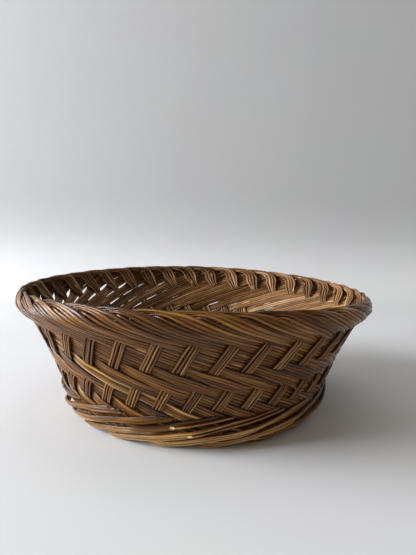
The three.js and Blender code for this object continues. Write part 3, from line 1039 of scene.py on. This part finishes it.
    def _beside(
        self,
        stake: float,
        under: bool,
        across: np.ndarray,
        lift: np.ndarray,
        reach: float = 1.0,
    ) -> np.ndarray:
        """The direction from a rod to the next one of its band.

        Args:
            stake: The stake's place round the wall.
            under: Whether its band lies under the other one of its strand in the foot.
            across: The rod's place across the band at each sample.
            lift: How far the rod stands out of its layer at each sample.
            reach: How much of the full way up the foot the rod goes.

        Returns:
            One direction per sample.
        """
        ahead = self.way(stake, under, across + self.nudge, lift, reach)
        return ahead - self.way(stake, under, across - self.nudge, lift, reach)

    def _root(self, stake: float, across: np.ndarray) -> np.ndarray:
        """The straight root in the base.

        Args:
            stake: The stake's place round the wall.
            across: The rod's place across the band at each sample.

        Returns:
            One point per sample.
        """
        wall = self.wall
        radius = np.linspace(wall.root_radius, wall.bend_radius, self.root_steps, endpoint=False)
        angle = stake * wall.stake_step - wall.root_angle + np.arcsin(across * wall.band / 2.0 / radius)
        return wall.point(radius, angle, np.full_like(radius, wall.base_plane))

    def _bend(self, stake: float, across: np.ndarray) -> np.ndarray:
        """The bend from the base into the wall.

        Args:
            stake: The stake's place round the wall.
            across: The rod's place across the band at each sample.

        Returns:
            One point per sample.
        """
        wall = self.wall
        share = np.linspace(0.0, 1.0, self.bend_steps, endpoint=False)
        tilt = wall.band / 2.0 * math.tan(wall.upright_lean) / wall.base_bend
        bend = -math.pi / 2.0 + wall.bend_sweep * share - across * tilt * share
        radius = wall.bend_radius + wall.base_bend * np.cos(bend)
        height = wall.bend_height + wall.base_bend * np.sin(bend)
        line = stake * wall.stake_step - wall.root_angle + wall.bend_turn * share**2
        spread = across * wall.band / 2.0 / float(wall.base_row.radius[0])
        return wall.point(radius, line + spread, height)

    def _upright(self, stake: float, across: np.ndarray, lift: np.ndarray) -> np.ndarray:
        """The steep climb, over and under the sweeps.

        Args:
            stake: The stake's place round the wall.
            across: The rod's place across the band at each sample.
            lift: How far the rod stands out of its layer at each sample.

        Returns:
            One point per sample.
        """
        wall = self.wall
        row = wall.row_at("crossing", self.climb + across * wall.upright_half(self.climb))
        side = wall.level_side(self.climb, self.upright_ease, WallFace.INSIDE)
        angle = (stake - self.climb + row.sweep) * wall.stake_step
        return wall.on_wall(row, side * wall.layer / 2.0 + lift, angle)

    def _rim_lift(self, out: np.ndarray, ahead: np.ndarray) -> np.ndarray:
        """How far a rod has moved from the inside of the wall to the outside on its way over the rim.

        Args:
            out: The rod's place across the turn, 1 on the outer edge and -1 on the inner one.
            ahead: How far along the sweep the rod is, in stakes.

        Returns:
            Shares from 0, inside, to 1, outside.
        """
        half = self.wall.sweep_half
        clear = np.arcsin(np.clip((self.rim_back - 1.0 + half) / (self.rim_back + out * half), -1.0, 1.0))
        start = self.rim_ahead - (self.rim_ahead + out * self.rim_half) * np.cos(clear)
        return smooth_step(start, self.rim_outside, ahead)

    def _roll(self, crossing: np.ndarray) -> np.ndarray:
        """How far the rolled rim stands out.

        Args:
            crossing: Crossing numbers along the band.

        Returns:
            One distance per crossing.
        """
        rolled = (crossing - self.roll_start) / (self.wall.level_ends[0] - self.roll_start)
        share = np.clip(rolled, 0.0, 1.0)
        return self.wall.rim_roll * np.sin(math.pi * share)

    def _rim_turn(self, stake: float, across: np.ndarray, lift: np.ndarray) -> np.ndarray:
        """The turn over the rim, the rods of a band nested round one corner.

        Args:
            stake: The stake's place round the wall.
            across: The rod's place across the band at each sample.
            lift: How far the rod stands out of its layer at each sample.

        Returns:
            One point per sample.
        """
        wall = self.wall
        bend = np.linspace(0.0, math.pi / 2.0, self.turn_steps, endpoint=False)
        ahead = self.rim_ahead - (self.rim_ahead - across * self.rim_half) * np.cos(bend)
        along = -self.rim_back + (self.rim_back - across * wall.sweep_half) * np.sin(bend)
        row = wall.row_at("crossing", ahead - along)
        out = self._rim_lift(-across, ahead)
        offset = wall.layer * (out - 0.5) + out * self._roll(ahead - along) + lift
        return wall.on_wall(row, offset, (stake + along + row.sweep) * wall.stake_step)

    def _sweep(self, stake: float, across: np.ndarray, lift: np.ndarray) -> np.ndarray:
        """The long sweep back down the wall, which first rolls out over the rim.

        Args:
            stake: The stake's place round the wall.
            across: The rod's place across the band at each sample.
            lift: How far the rod stands out of its layer at each sample.

        Returns:
            One point per sample.
        """
        wall = self.wall
        spread = self.descent + across * wall.sweep_half
        row = wall.row_at("crossing", spread)
        side = wall.level_side(self.descent, self.sweep_ease, WallFace.OUTSIDE)
        out = self._rim_lift(-across, self.descent)
        roll = out * self._roll(spread) * np.maximum(side, 0.0)
        offset = side * wall.layer * (out - 0.5) + roll + lift
        angle = (stake + self.descent - row.upright) * wall.stake_step
        return wall.on_wall(row, offset, angle)

    def _through_foot(
        self,
        stake: float,
        under: bool,
        across: np.ndarray,
        lift: np.ndarray,
        reach: float,
    ) -> list[np.ndarray]:
        """The end of the way: down to the floor, round the turn there and up on the outside of the foot.

        Args:
            stake: The stake's place round the wall.
            under: Whether its band lies under the other one of its strand.
            across: The rod's place across the band at each sample of the whole way.
            lift: How far the rod stands out of its layer at each sample of the whole way.
            reach: How much of the full way up the foot the rod goes.

        Returns:
            The points of the three stretches.
        """
        wall = self.wall
        down, turn, rise = (self.parts[name] for name in (Stretch.FOOT, Stretch.FOOT_TURN, Stretch.RISE))
        first = stake - 1.0 if under else stake
        turn_end = first + self.foot_reach
        entry = float(wall.row_at("crossing", wall.sweep_stop).foot_crossing[0])
        share = np.linspace(0.0, 1.0, self.foot_steps, endpoint=False)
        half = wall.sweep_half + (wall.gathered_half - wall.sweep_half) * self.gather[down]
        along = stake - across[down] * half
        against = stake + entry + (turn_end - self.turn_up - stake - entry) * share
        lines = [self._foot(first, under, along, against, lift[down])]

        bend = np.linspace(0.0, math.pi / 2.0, self.foot_turn_steps, endpoint=False)
        out = self.turn_down + across[turn] * wall.gathered_half
        along = stake + self.turn_down - out * np.cos(bend)
        up = self.turn_up + across[turn] * wall.rise_half
        against = turn_end - self.turn_up + up * np.sin(bend)
        lines.append(self._foot(first, under, along, against, lift[turn]))

        rise_end = first + reach * (self.under_stakes if under else self.foot_stakes)
        along = np.linspace(stake + self.turn_down, rise_end, self.rise_steps)
        against = turn_end + across[rise] * wall.rise_half + self.foot_tuck * self.thinned**2
        inset = (wall.gathered_depth - wall.rod) / 2.0 * self.thinned + self.tuck_depth * self.tucked
        lines.append(self._foot(first, under, along, against, lift[rise] - inset))
        return lines

    def _foot(
        self,
        first: float,
        under: bool,
        along: np.ndarray,
        against: np.ndarray,
        lift: np.ndarray,
    ) -> np.ndarray:
        """Places in the foot, where a strand stands further out than the bands that it crosses.

        Args:
            first: The place round the wall of the strand's first stake.
            under: Whether the band lies under the other one of its strand.
            along: The number of the sweep that passes each place.
            against: The number of the rising band that passes each place.
            lift: How far the rod stands out of its layer at each place.

        Returns:
            One point per place.
        """
        wall = self.wall
        row = wall.row_at("foot_crossing", against - along)
        past = along + against - 2.0 * first - self.foot_reach
        outward = np.clip((past - self.ramp_start) * self.ramp_slope, 0.0, self.strand_layers)
        settling = (past - self.under_stakes - wall.rise_half) * self.settle_slope
        settled = np.clip(settling, 0.0, self.strand_layers - self.resting_layers)
        layers = np.maximum(outward - self.under_layers, 0.0) if under else outward - settled
        hugging = self.hug * np.clip(layers, 0.0, 1.0)
        offset = wall.layer / 2.0 + wall.clearance + layers * wall.foot_layer - hugging + lift
        return wall.on_wall(row, offset, (along + row.sweep) * wall.stake_step)

    def _spread(self, stake: float, rng: np.random.Generator) -> np.ndarray:
        """How far the rods of a stake are spread at each sample.

        The sweeps lie close, so that hardly any light comes through, except at the back on the left,
        where the basket was plaited more loosely. The uprights fan out below the rim.

        Args:
            stake: The stake's place round the wall.
            rng: The stake's own random numbers.

        Returns:
            Factors on the rods' places across the band.
        """
        part = self.parts
        upright, turn, sweep = (part[name] for name in (Stretch.UPRIGHT, Stretch.RIM_TURN, Stretch.SWEEP))
        still = np.zeros(self.samples)
        middle = self.way(stake, False, still, still)
        angle = np.arctan2(middle[:, 1], middle[:, 0])
        away = np.abs((angle - self.loose_towards + math.pi) % (2.0 * math.pi) - math.pi)
        looser = 1.0 - smooth_step(0.5 * self.loose_reach, self.loose_reach, away)
        looser = looser * rng.uniform(self.loose_least, 1.0)
        spread = np.full(self.samples, self.tight)
        lower = smooth_step(*self.loose_crossings, self.descent)
        spread[sweep] += (self.loose - self.tight) * lower * looser[sweep]
        for end in self.wall.level_ends[1:3]:
            near = 1.0 - smooth_step(*self.pinch_reach, np.abs(self.descent - end))
            spread[sweep] -= self.pinch * rng.uniform(0.0, 1.0) * near
        spread[:upright.start] = 1.0
        below_fan = smooth_step(self.rim_back, self.fan_start, self.climb)
        spread[upright] = self.fan + (1.0 - self.fan) * below_fan
        leaf = smooth_step(self.fan_start, self.fan_start - self.leaf_climb, self.climb)
        leaf = leaf * smooth_step(self.rim_back, self.leaf_end, self.climb)
        spread[upright] += self.leaf * leaf
        turned = smooth_step(*self.fan_closes, np.linspace(0.0, 1.0, self.turn_steps))
        spread[turn] = self.fan + (spread[turn] - self.fan) * turned
        spread[part[Stretch.FOOT]] = np.linspace(self.tight, self.foot_spread, self.foot_steps)
        spread[part[Stretch.FOOT_TURN]] = np.linspace(self.foot_spread, 1.0, self.foot_turn_steps)
        spread[part[Stretch.RISE]] = 1.0
        return spread

    def _strand_drift(self, index: int, run: np.ndarray) -> tuple[np.ndarray, np.ndarray]:
        """How a strand of the foot sways and swells; both of its bands do so alike.

        Args:
            index: The number of one of its stakes, from 0.
            run: Places along the rod in millimetres.

        Returns:
            The sway and the swell at each place.
        """
        rng = np.random.default_rng(self.seed * 2000 + index // self.wall.bands_per_strand)
        settled = np.zeros(self.samples)
        rising = np.linspace(0.0, 1.0, self.rise_steps)
        settled[self.parts[Stretch.RISE]] = smooth_step(0.0, self.sway_within, rising)
        sway = wander(rng, run, self.strand_sway, self.sway_wave) * settled
        swell = wander(rng, run, self.strand_swell, self.swell_wave) * settled
        return sway, swell

    def _scuffs(self, run: np.ndarray, rng: np.random.Generator) -> np.ndarray:
        """How much lighter a rod is where use has scuffed the stain off.

        Args:
            run: Places along the rod in millimetres.
            rng: The stake's own random numbers.

        Returns:
            One amount of tone per place.
        """
        lighter = np.zeros_like(run)
        for _ in range(rng.binomial(self.most_scuffs, self.scuff_share)):
            away = np.abs(run - rng.uniform(*self.scuffed)) / self.scuff_length
            lighter += self.scuff * (1.0 - smooth_step(self.scuff_core, 1.0, away))
        return lighter

    def _add_rod(self, rods: RodMesh, band: Band, number: int, rng: np.random.Generator) -> None:
        """Lays one rod of a band.

        Args:
            rods: The stake's rods so far.
            band: The band that the rod lies in.
            number: The rod's number in the band, from 0.
            rng: The stake's own random numbers.
        """
        wall = self.wall
        upright = self.parts[Stretch.UPRIGHT]
        place = (2.0 * number + 1.0) / wall.rods_per_band - 1.0
        across = place * band.spread + band.drift + wander(rng, band.run, self.rod_drift, self.rod_wave)
        across = across * (1.0 + band.swell) + band.sway
        across[upright] += rng.normal(0.0, self.upright_drift) * self.bowed
        stagger = (wall.gathered_depth - wall.rod) / 2.0 * (1.0 if number % 2 else -1.0)
        lift = wander(rng, band.run, self.depth_drift, self.depth_wave) + stagger * self.gather
        lift -= self.band_tilt * place * self.outer
        reach = rng.uniform(self.shortest_reach, 1.0)
        line = self.way(band.stake, band.under, across, lift, reach)
        beside = self._beside(band.stake, band.under, across, lift, reach)
        radius = wall.rod / 2.0 * rng.uniform(*self.rod_sizes)
        radius = radius * (1.0 + wander(rng, band.run, self.rod_swell, self.swell_wave))
        tone = float(np.clip(band.tone + rng.normal(0.0, self.rod_tone), *self.tones))
        flat = np.maximum(self.flatness, self.spread_cover * band.spread) * self.room
        # Lighter on the foot, partly wear and partly painted light, and lighter where use scuffed the
        # stain off
        worn_and_lit = tone + self.foot_wear * self.gather + self._scuffs(band.run, rng)
        worn_and_lit[upright] += self.upright_tone * self.bowed
        grain = band.index * self.grain_apart + number
        # The flanks darken with gathered stain and painted shade.
        rods.add_rod(line, beside, radius, worn_and_lit, grain, flat, self.pooled, paler_inside=self.paler_inside)

    def _let_in(self, rods: RodMesh, stake: float, step: int) -> None:
        """Lays a new rod on a strand of the foot where one ran out, with its slanting cut in sight.

        Args:
            rods: The stake's rods so far.
            stake: The stake's place round the wall.
            step: The step of the rise where the new rod starts.
        """
        wall = self.wall
        rest = slice(self.parts[Stretch.RISE].start + step, self.samples)
        level = np.full(self.samples, self.let_in_across)
        above = np.full(self.samples, self.let_in_lift * wall.rod)
        line = self.way(stake, False, level, above)[rest]
        beside = self._beside(stake, False, level, above)[rest]
        radius = np.full(len(line), self.let_in_radius * wall.rod)
        walked = np.concatenate([[0.0], np.cumsum(np.linalg.norm(np.diff(line, axis=0), axis=1))])
        tone = self.let_in_tone + self.let_in_paler * (1.0 - smooth_step(*self.let_in_fade, walked))
        rods.add_rod(line, beside, radius, tone, self.let_in_grain + stake, cut=RodCut.SLANTED)

    def build(self, index: int, finish: RodFinish) -> bpy.types.Object:
        """Builds one stake.

        Args:
            index: The stake's number, from 0.
            finish: The materials of the rods.

        Returns:
            The stake's object.
        """
        wall = self.wall
        rng = np.random.default_rng(self.seed * 1000 + index)
        stake = index + 0.5 + wall.root_angle / wall.stake_step
        run = np.linspace(0.0, self.rod_length, self.samples)
        under = index % wall.bands_per_strand > 0
        drift = wander(rng, run, self.band_drift, self.band_wave)
        tone = rng.normal(self.tone, self.band_tone)
        spread = self._spread(stake, rng)
        sway, swell = self._strand_drift(index, run)
        band = Band(index, stake, under, run, drift, tone, spread, sway, swell)
        rods = RodMesh()
        for number in range(wall.rods_per_band):
            self._add_rod(rods, band, number, rng)
        for number, step in self.let_in:
            if number == index:
                self._let_in(rods, stake, step)
        name = f"stake_{index + 1:02d}"
        piece = rods.piece(f"rods_{name}", finish)
        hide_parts(name)
        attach(piece, "root")
        return piece


@dataclass
class BaseSticks:
    """The two crossed sets of thick sticks, fanned out like spokes."""

    wall: PlaitedWall
    along_x: int = 4
    along_y: int = 5
    seed: int = 41

    # Where the sticks fan out and end, and the points along their lines
    fan_pitches: float = 1.4
    fan_clear: float = 1.55
    end_clear: float = 1.0
    point_gap: float = 2.0
    easing: int = 6
    sides: int = 12

    # The sticks' unevenness, against their plain thickness, their stain, and the painted shade on their
    # flanks
    length: float = 180.0
    shaved: float = 0.96
    swell: float = 0.02
    swell_wave: float = 70.0
    tone: float = 0.45
    tone_spread: float = 0.06
    groove: float = 0.6
    grain: float = 500.0

    def __post_init__(self) -> None:
        """Works out the cross in the middle and the reach of the spokes."""
        wall = self.wall
        self.pitch = wall.stick + wall.clearance
        self.step = 2.0 * math.pi / wall.stick_ends
        self.half_x = self.along_y / 2.0 * self.pitch + wall.clearance
        self.half_y = self.along_x / 2.0 * self.pitch + wall.clearance
        widest = max(self.half_x, self.half_y)
        self.fan_start = max(self.fan_pitches * self.pitch / self.step, self.fan_clear * widest)
        self.reach = wall.bend_radius - self.end_clear

    def _on_spoke(self, angle: float, radius: float) -> Vector:
        """The place on a spoke at a radius, in the plane of the base."""
        return Vector((radius * math.cos(angle), radius * math.sin(angle), self.wall.base_plane))

    def _line(self, middle: list[Vector], angles: tuple[float, float]) -> np.ndarray:
        """The line of one stick, eased where it fans out.

        Args:
            middle: The two places where the stick leaves the cross.
            angles: The directions of its two ends.

        Returns:
            Points about two millimetres apart.
        """
        near, far = angles
        knots = [
            self._on_spoke(near, self.reach),
            self._on_spoke(near, self.fan_start),
            *middle,
            self._on_spoke(far, self.fan_start),
            self._on_spoke(far, self.reach),
        ]
        corners = np.array([list(knot) for knot in knots])
        walked = np.concatenate([[0.0], np.cumsum(np.linalg.norm(np.diff(corners, axis=0), axis=1))])
        places = np.linspace(0.0, walked[-1], int(walked[-1] / self.point_gap))
        line = np.stack([np.interp(places, walked, corners[:, axis]) for axis in range(3)], axis=1)
        return eased(line, self.easing)

    def build(self, finish: RodFinish) -> list[bpy.types.Object]:
        """Builds every stick.

        Args:
            finish: The materials of the sticks.

        Returns:
            The sticks' objects.
        """
        wall = self.wall
        rng = np.random.default_rng(self.seed)
        routes = []
        for index in range(self.along_x):
            place = index - (self.along_x - 1) / 2.0
            height = wall.base_plane + self.pitch / 2.0
            middle = [Vector((s * self.half_x, place * self.pitch, height)) for s in (-1.0, 1.0)]
            routes.append((middle, (math.pi - place * self.step, place * self.step)))
        for index in range(self.along_y):
            place = index - (self.along_y - 1) / 2.0
            height = wall.base_plane - self.pitch / 2.0
            middle = [Vector((place * self.pitch, s * self.half_y, height)) for s in (-1.0, 1.0)]
            turned = place * self.step
            routes.append((middle, (-math.pi / 2.0 + turned, math.pi / 2.0 - turned)))
        pieces = []
        for number, (middle, angles) in enumerate(routes, start=1):
            line = self._line(middle, angles)
            run = np.linspace(0.0, self.length, len(line))
            beside = np.cross(np.gradient(line, axis=0), np.array([0.0, 0.0, 1.0]))
            radius = wall.stick / 2.0 * (self.shaved + wander(rng, run, self.swell, self.swell_wave))
            tone = float(rng.normal(self.tone, self.tone_spread))
            rods = RodMesh(sides=self.sides)
            rods.add_rod(line, beside, radius, tone, self.grain + number, groove=self.groove)
            name = f"base_stick_{number:02d}"
            piece = rods.piece(f"rod_{name}", finish)
            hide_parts(name)
            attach(piece, "root")
            pieces.append(piece)
        return pieces


@dataclass
class BaseWeavers:
    """Two flat spirals of three rods that bind the base, each over one stick end and under the next."""

    wall: PlaitedWall
    sticks: BaseSticks
    rods: int = 3
    seed: int = 63

    # The spiral: its ends, counted in stick ends, and how steeply it goes over and under
    steps_per_pass: int = 10
    starts_before: float = 0.45
    stops_before: float = 0.55
    end_clear: float = 1.0
    steepness: float = 1.7
    steeper_among_roots: float = 5.0
    nudge: float = 0.1

    # The rods' unevenness, against their plain thickness, and their stain
    length: float = 1500.0
    shaved: float = 0.97
    swell: float = 0.02
    swell_wave: float = 60.0
    tone: float = 0.5
    tone_spread: float = 0.08
    grain: float = 700.0
    grain_apart: float = 10.0

    def _line(self, starts_over: bool, across: float) -> np.ndarray:
        """The line of one rod of a weaver.

        Args:
            starts_over: True for the weaver that starts over its first stick end.
            across: The rod's distance outside the weaver's middle.

        Returns:
            Points of the spiral.
        """
        wall, sticks = self.wall, self.sticks
        width = wall.rod * self.rods
        per_turn = 2.0 * (width + wall.clearance)
        inner = sticks.fan_start + width / 2.0 + self.end_clear + (0.0 if starts_over else per_turn / 2.0)
        outer = sticks.reach - self.end_clear - width / 2.0 - (per_turn / 2.0 if starts_over else 0.0)
        passes = max(2, math.floor((outer - inner) / per_turn * wall.stick_ends))
        turn = np.linspace(-self.starts_before, passes - self.stops_before, passes * self.steps_per_pass)
        angle = (turn + 0.5) * sticks.step
        radius = inner + turn / wall.stick_ends * per_turn + across
        height = wall.stick / 2.0 + wall.rod / 2.0 + wall.clearance
        among_roots = smooth_step(wall.root_radius - 2.0 * width, wall.root_radius, radius)
        steep = self.steepness + self.steeper_among_roots * among_roots
        wave = np.clip(steep * np.cos(math.pi * turn), -1.0, 1.0) * (1.0 if starts_over else -1.0)
        return eased(wall.point(radius, angle, wall.base_plane + height * wave), 1)

    def build(self, finish: RodFinish) -> list[bpy.types.Object]:
        """Builds both weavers.

        Args:
            finish: The materials of the rods.

        Returns:
            The two weavers' objects.
        """
        wall = self.wall
        rng = np.random.default_rng(self.seed)
        pieces = []
        for name, starts_over in (("base_weaver_a", True), ("base_weaver_b", False)):
            rods = RodMesh()
            for number in range(self.rods):
                across = (number - (self.rods - 1) / 2.0) * wall.rod
                line = self._line(starts_over, across)
                beside = self._line(starts_over, across + self.nudge)
                beside = beside - self._line(starts_over, across - self.nudge)
                run = np.linspace(0.0, self.length, len(line))
                radius = wall.rod / 2.0 * (self.shaved + wander(rng, run, self.swell, self.swell_wave))
                tone = float(rng.normal(self.tone, self.tone_spread))
                rods.add_rod(line, beside, radius, tone, self.grain + self.grain_apart * number)
            piece = rods.piece(f"rods_{name}", finish)
            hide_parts(name)
            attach(piece, "root")
            pieces.append(piece)
        return pieces


@dataclass(frozen=True)
class Lamp:
    """A rectangular light that faces the basket: its middle and size in metres, and its power."""

    name: str
    place: tuple[float, float, float]
    size: tuple[float, float]
    watts: float


@dataclass
class Studio:
    """A pale floor that curves up into a backdrop, a key light like a window, and the photo's camera."""

    # The camera's place in metres, its lens in pixels of the photo, and where it points
    camera_place: tuple[float, float, float] = (0.001, -0.380, 0.141)
    focal_pixels: float = 480.0
    pitch: float = math.radians(6.6)
    yaw: float = math.radians(1.3)
    roll: float = math.radians(0.7)

    # The floor and its curve up into the backdrop, in metres
    back: float = 0.55
    sweep_radius: float = 0.12
    curve_steps: int = 12
    reach: float = 1.6

    # A window on the left, weaker light from a wall and the ceiling, and the glow of the room
    key: Lamp = Lamp("window_key", (-1.75, -0.22, 0.8), (1.2, 1.0), 76.0)
    side: Lamp = Lamp("pale_wall", (0.9, 0.4, 0.5), (0.8, 0.6), 1.6)
    top: Lamp = Lamp("pale_ceiling", (0.1, 0.15, 2.0), (1.2, 0.8), 3.2)
    aim_height: float = 0.05
    daylight: str = "#F4F8FF"
    room: str = "#F3E5D2"
    fill_left: float = 0.67
    fill_right: float = 0.11

    def build(self) -> None:
        """Sets floor, light and camera."""
        self._camera()
        self._floor()
        self._lights()

    def _camera(self) -> None:
        """Places the camera where the photograph was taken from."""
        data = bpy.data.cameras.new("photo_camera")
        data.sensor_fit = "VERTICAL"
        data.sensor_height = 36.0
        data.lens = self.focal_pixels / PHOTO_HEIGHT * data.sensor_height
        data.clip_start = 0.01
        camera = bpy.data.objects.new("photo_camera", data)
        ahead = Vector((
            math.sin(self.yaw) * math.cos(self.pitch),
            math.cos(self.yaw) * math.cos(self.pitch),
            -math.sin(self.pitch),
        ))
        level = Vector((math.cos(self.yaw), -math.sin(self.yaw), 0.0))
        upward = level.cross(ahead)
        right = level * math.cos(self.roll) + upward * math.sin(self.roll)
        up = right.cross(ahead)
        matrix = Matrix((right, up, -ahead)).transposed().to_4x4()
        matrix.translation = Vector(self.camera_place)
        camera.matrix_world = matrix
        bpy.context.scene.collection.objects.link(camera)
        bpy.context.scene.camera = camera

    def _floor(self) -> None:
        """Lays the floor and its curve up into the backdrop."""
        profile = [(-self.reach, 0.0), (self.back - self.sweep_radius, 0.0)]
        for step in range(1, self.curve_steps + 1):
            bend = step / self.curve_steps * math.pi / 2.0
            profile.append((
                self.back - self.sweep_radius + self.sweep_radius * math.sin(bend),
                self.sweep_radius - self.sweep_radius * math.cos(bend),
            ))
        profile.append((self.back, self.reach))
        points = [(side * self.reach, y, z) for y, z in profile for side in (-1.0, 1.0)]
        faces = [(2 * i, 2 * i + 1, 2 * i + 3, 2 * i + 2) for i in range(len(profile) - 1)]
        mesh = bpy.data.meshes.new("pale_floor")
        mesh.from_pydata(points, [], faces)
        mesh.polygons.foreach_set("use_smooth", [True] * len(faces))
        mesh.materials.append(SHEETING.material())
        floor = bpy.data.objects.new("pale_floor", mesh)
        bpy.context.scene.collection.objects.link(floor)

    def _hang(self, lamp: Lamp) -> None:
        """Hangs one light and turns it to the basket.

        Args:
            lamp: The light.
        """
        data = bpy.data.lights.new(lamp.name, "AREA")
        data.shape = "RECTANGLE"
        data.size, data.size_y = lamp.size
        data.energy = lamp.watts
        data.color = linear_colour(self.daylight)[:3]
        light = bpy.data.objects.new(lamp.name, data)
        light.location = Vector(lamp.place)
        facing = Vector((0.0, 0.0, self.aim_height)) - light.location
        light.rotation_euler = facing.to_track_quat("-Z", "Y").to_euler()
        bpy.context.scene.collection.objects.link(light)

    def _lights(self) -> None:
        """Hangs the lights, and fills the room with a soft glow that is stronger on the window's side."""
        for lamp in (self.key, self.side, self.top):
            self._hang(lamp)
        world = bpy.data.worlds.new("soft_room")
        bpy.context.scene.world = world
        world.use_nodes = True
        tree = world.node_tree
        tree.nodes.clear()
        room = add_node(tree, "ShaderNodeTexCoord")
        place = add_node(tree, "ShaderNodeSeparateXYZ", {}, {"Vector": room.outputs["Generated"]})
        level = add_node(tree, "ShaderNodeMapRange", {}, {
            "Value": place.outputs["X"],
            "From Min": -1.0, "From Max": 1.0,
            "To Min": self.fill_left, "To Max": self.fill_right,
        })
        sky = add_node(tree, "ShaderNodeBackground", {}, {
            "Color": linear_colour(self.room), "Strength": level.outputs["Result"],
        })
        add_node(tree, "ShaderNodeOutputWorld", {}, {"Surface": sky.outputs["Background"]})


# Varnish brushed over the outside: long streaks of light along the rods that face the window.
STAKE_RATTAN = StainedRattan(
    name="rattan_core_stained_varnished",
    stain=(
        (0.0, "#160903"),
        (0.25, "#3D2103"),
        (0.5, "#6B410E"),
        (0.75, "#996D33"),
        (1.0, "#C4A26C"),
    ),
)
# The inside got only the varnish that ran through the plait: dull, and a little greyer.
INNER_RATTAN = StainedRattan(
    name="rattan_core_stained_unvarnished",
    stain=(
        (0.0, "#160A05"),
        (0.25, "#3C240E"),
        (0.5, "#684725"),
        (0.75, "#926E4A"),
        (1.0, "#BA9E7C"),
    ),
    roughness=(0.5, 0.78),
    varnish=0.07,
)
# Thicker pole for the base, with a trace of varnish: darker, its fibres coarser.
STICK_RATTAN = StainedRattan(
    name="rattan_pole_stained",
    stain=(
        (0.0, "#1F1106"),
        (0.3, "#452A12"),
        (0.6, "#694724"),
        (1.0, "#9A754B"),
    ),
    fibre_mm=0.6,
    varnish=0.12,
)
# The backdrop colour is painted shade: the same sheeting, drawn greyer where it rises.
SHEETING = PaleCotton(name="plain_woven_cotton_sheeting", lying="#D0D1D2", hanging="#AEAFAF")


def main() -> None:
    """Builds the basket and its studio, and reports each piece."""
    logging.basicConfig(level=logging.INFO, format="%(name)s: %(message)s")
    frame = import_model()
    bpy.context.scene.view_settings.view_transform = "Standard"
    Studio().build()
    wall = PlaitedWall()
    pole = STICK_RATTAN.material()
    cut = CutRattan().material()
    plaited = RodFinish(STAKE_RATTAN.material(), INNER_RATTAN.material(), cut)
    stakes = Stakes(wall)
    for index in range(wall.stake_count):
        piece = stakes.build(index, plaited)
        LOG.info("%s: %d points", piece.name, len(piece.data.vertices))
    sticks = BaseSticks(wall)
    weavers = BaseWeavers(wall, sticks)
    for piece in sticks.build(RodFinish(pole, pole, cut)) + weavers.build(plaited):
        LOG.info("%s: %d points", piece.name, len(piece.data.vertices))
    LOG.info("%d nodes in the frame", len(frame["nodes"]))


if __name__ == "__main__":
    main()
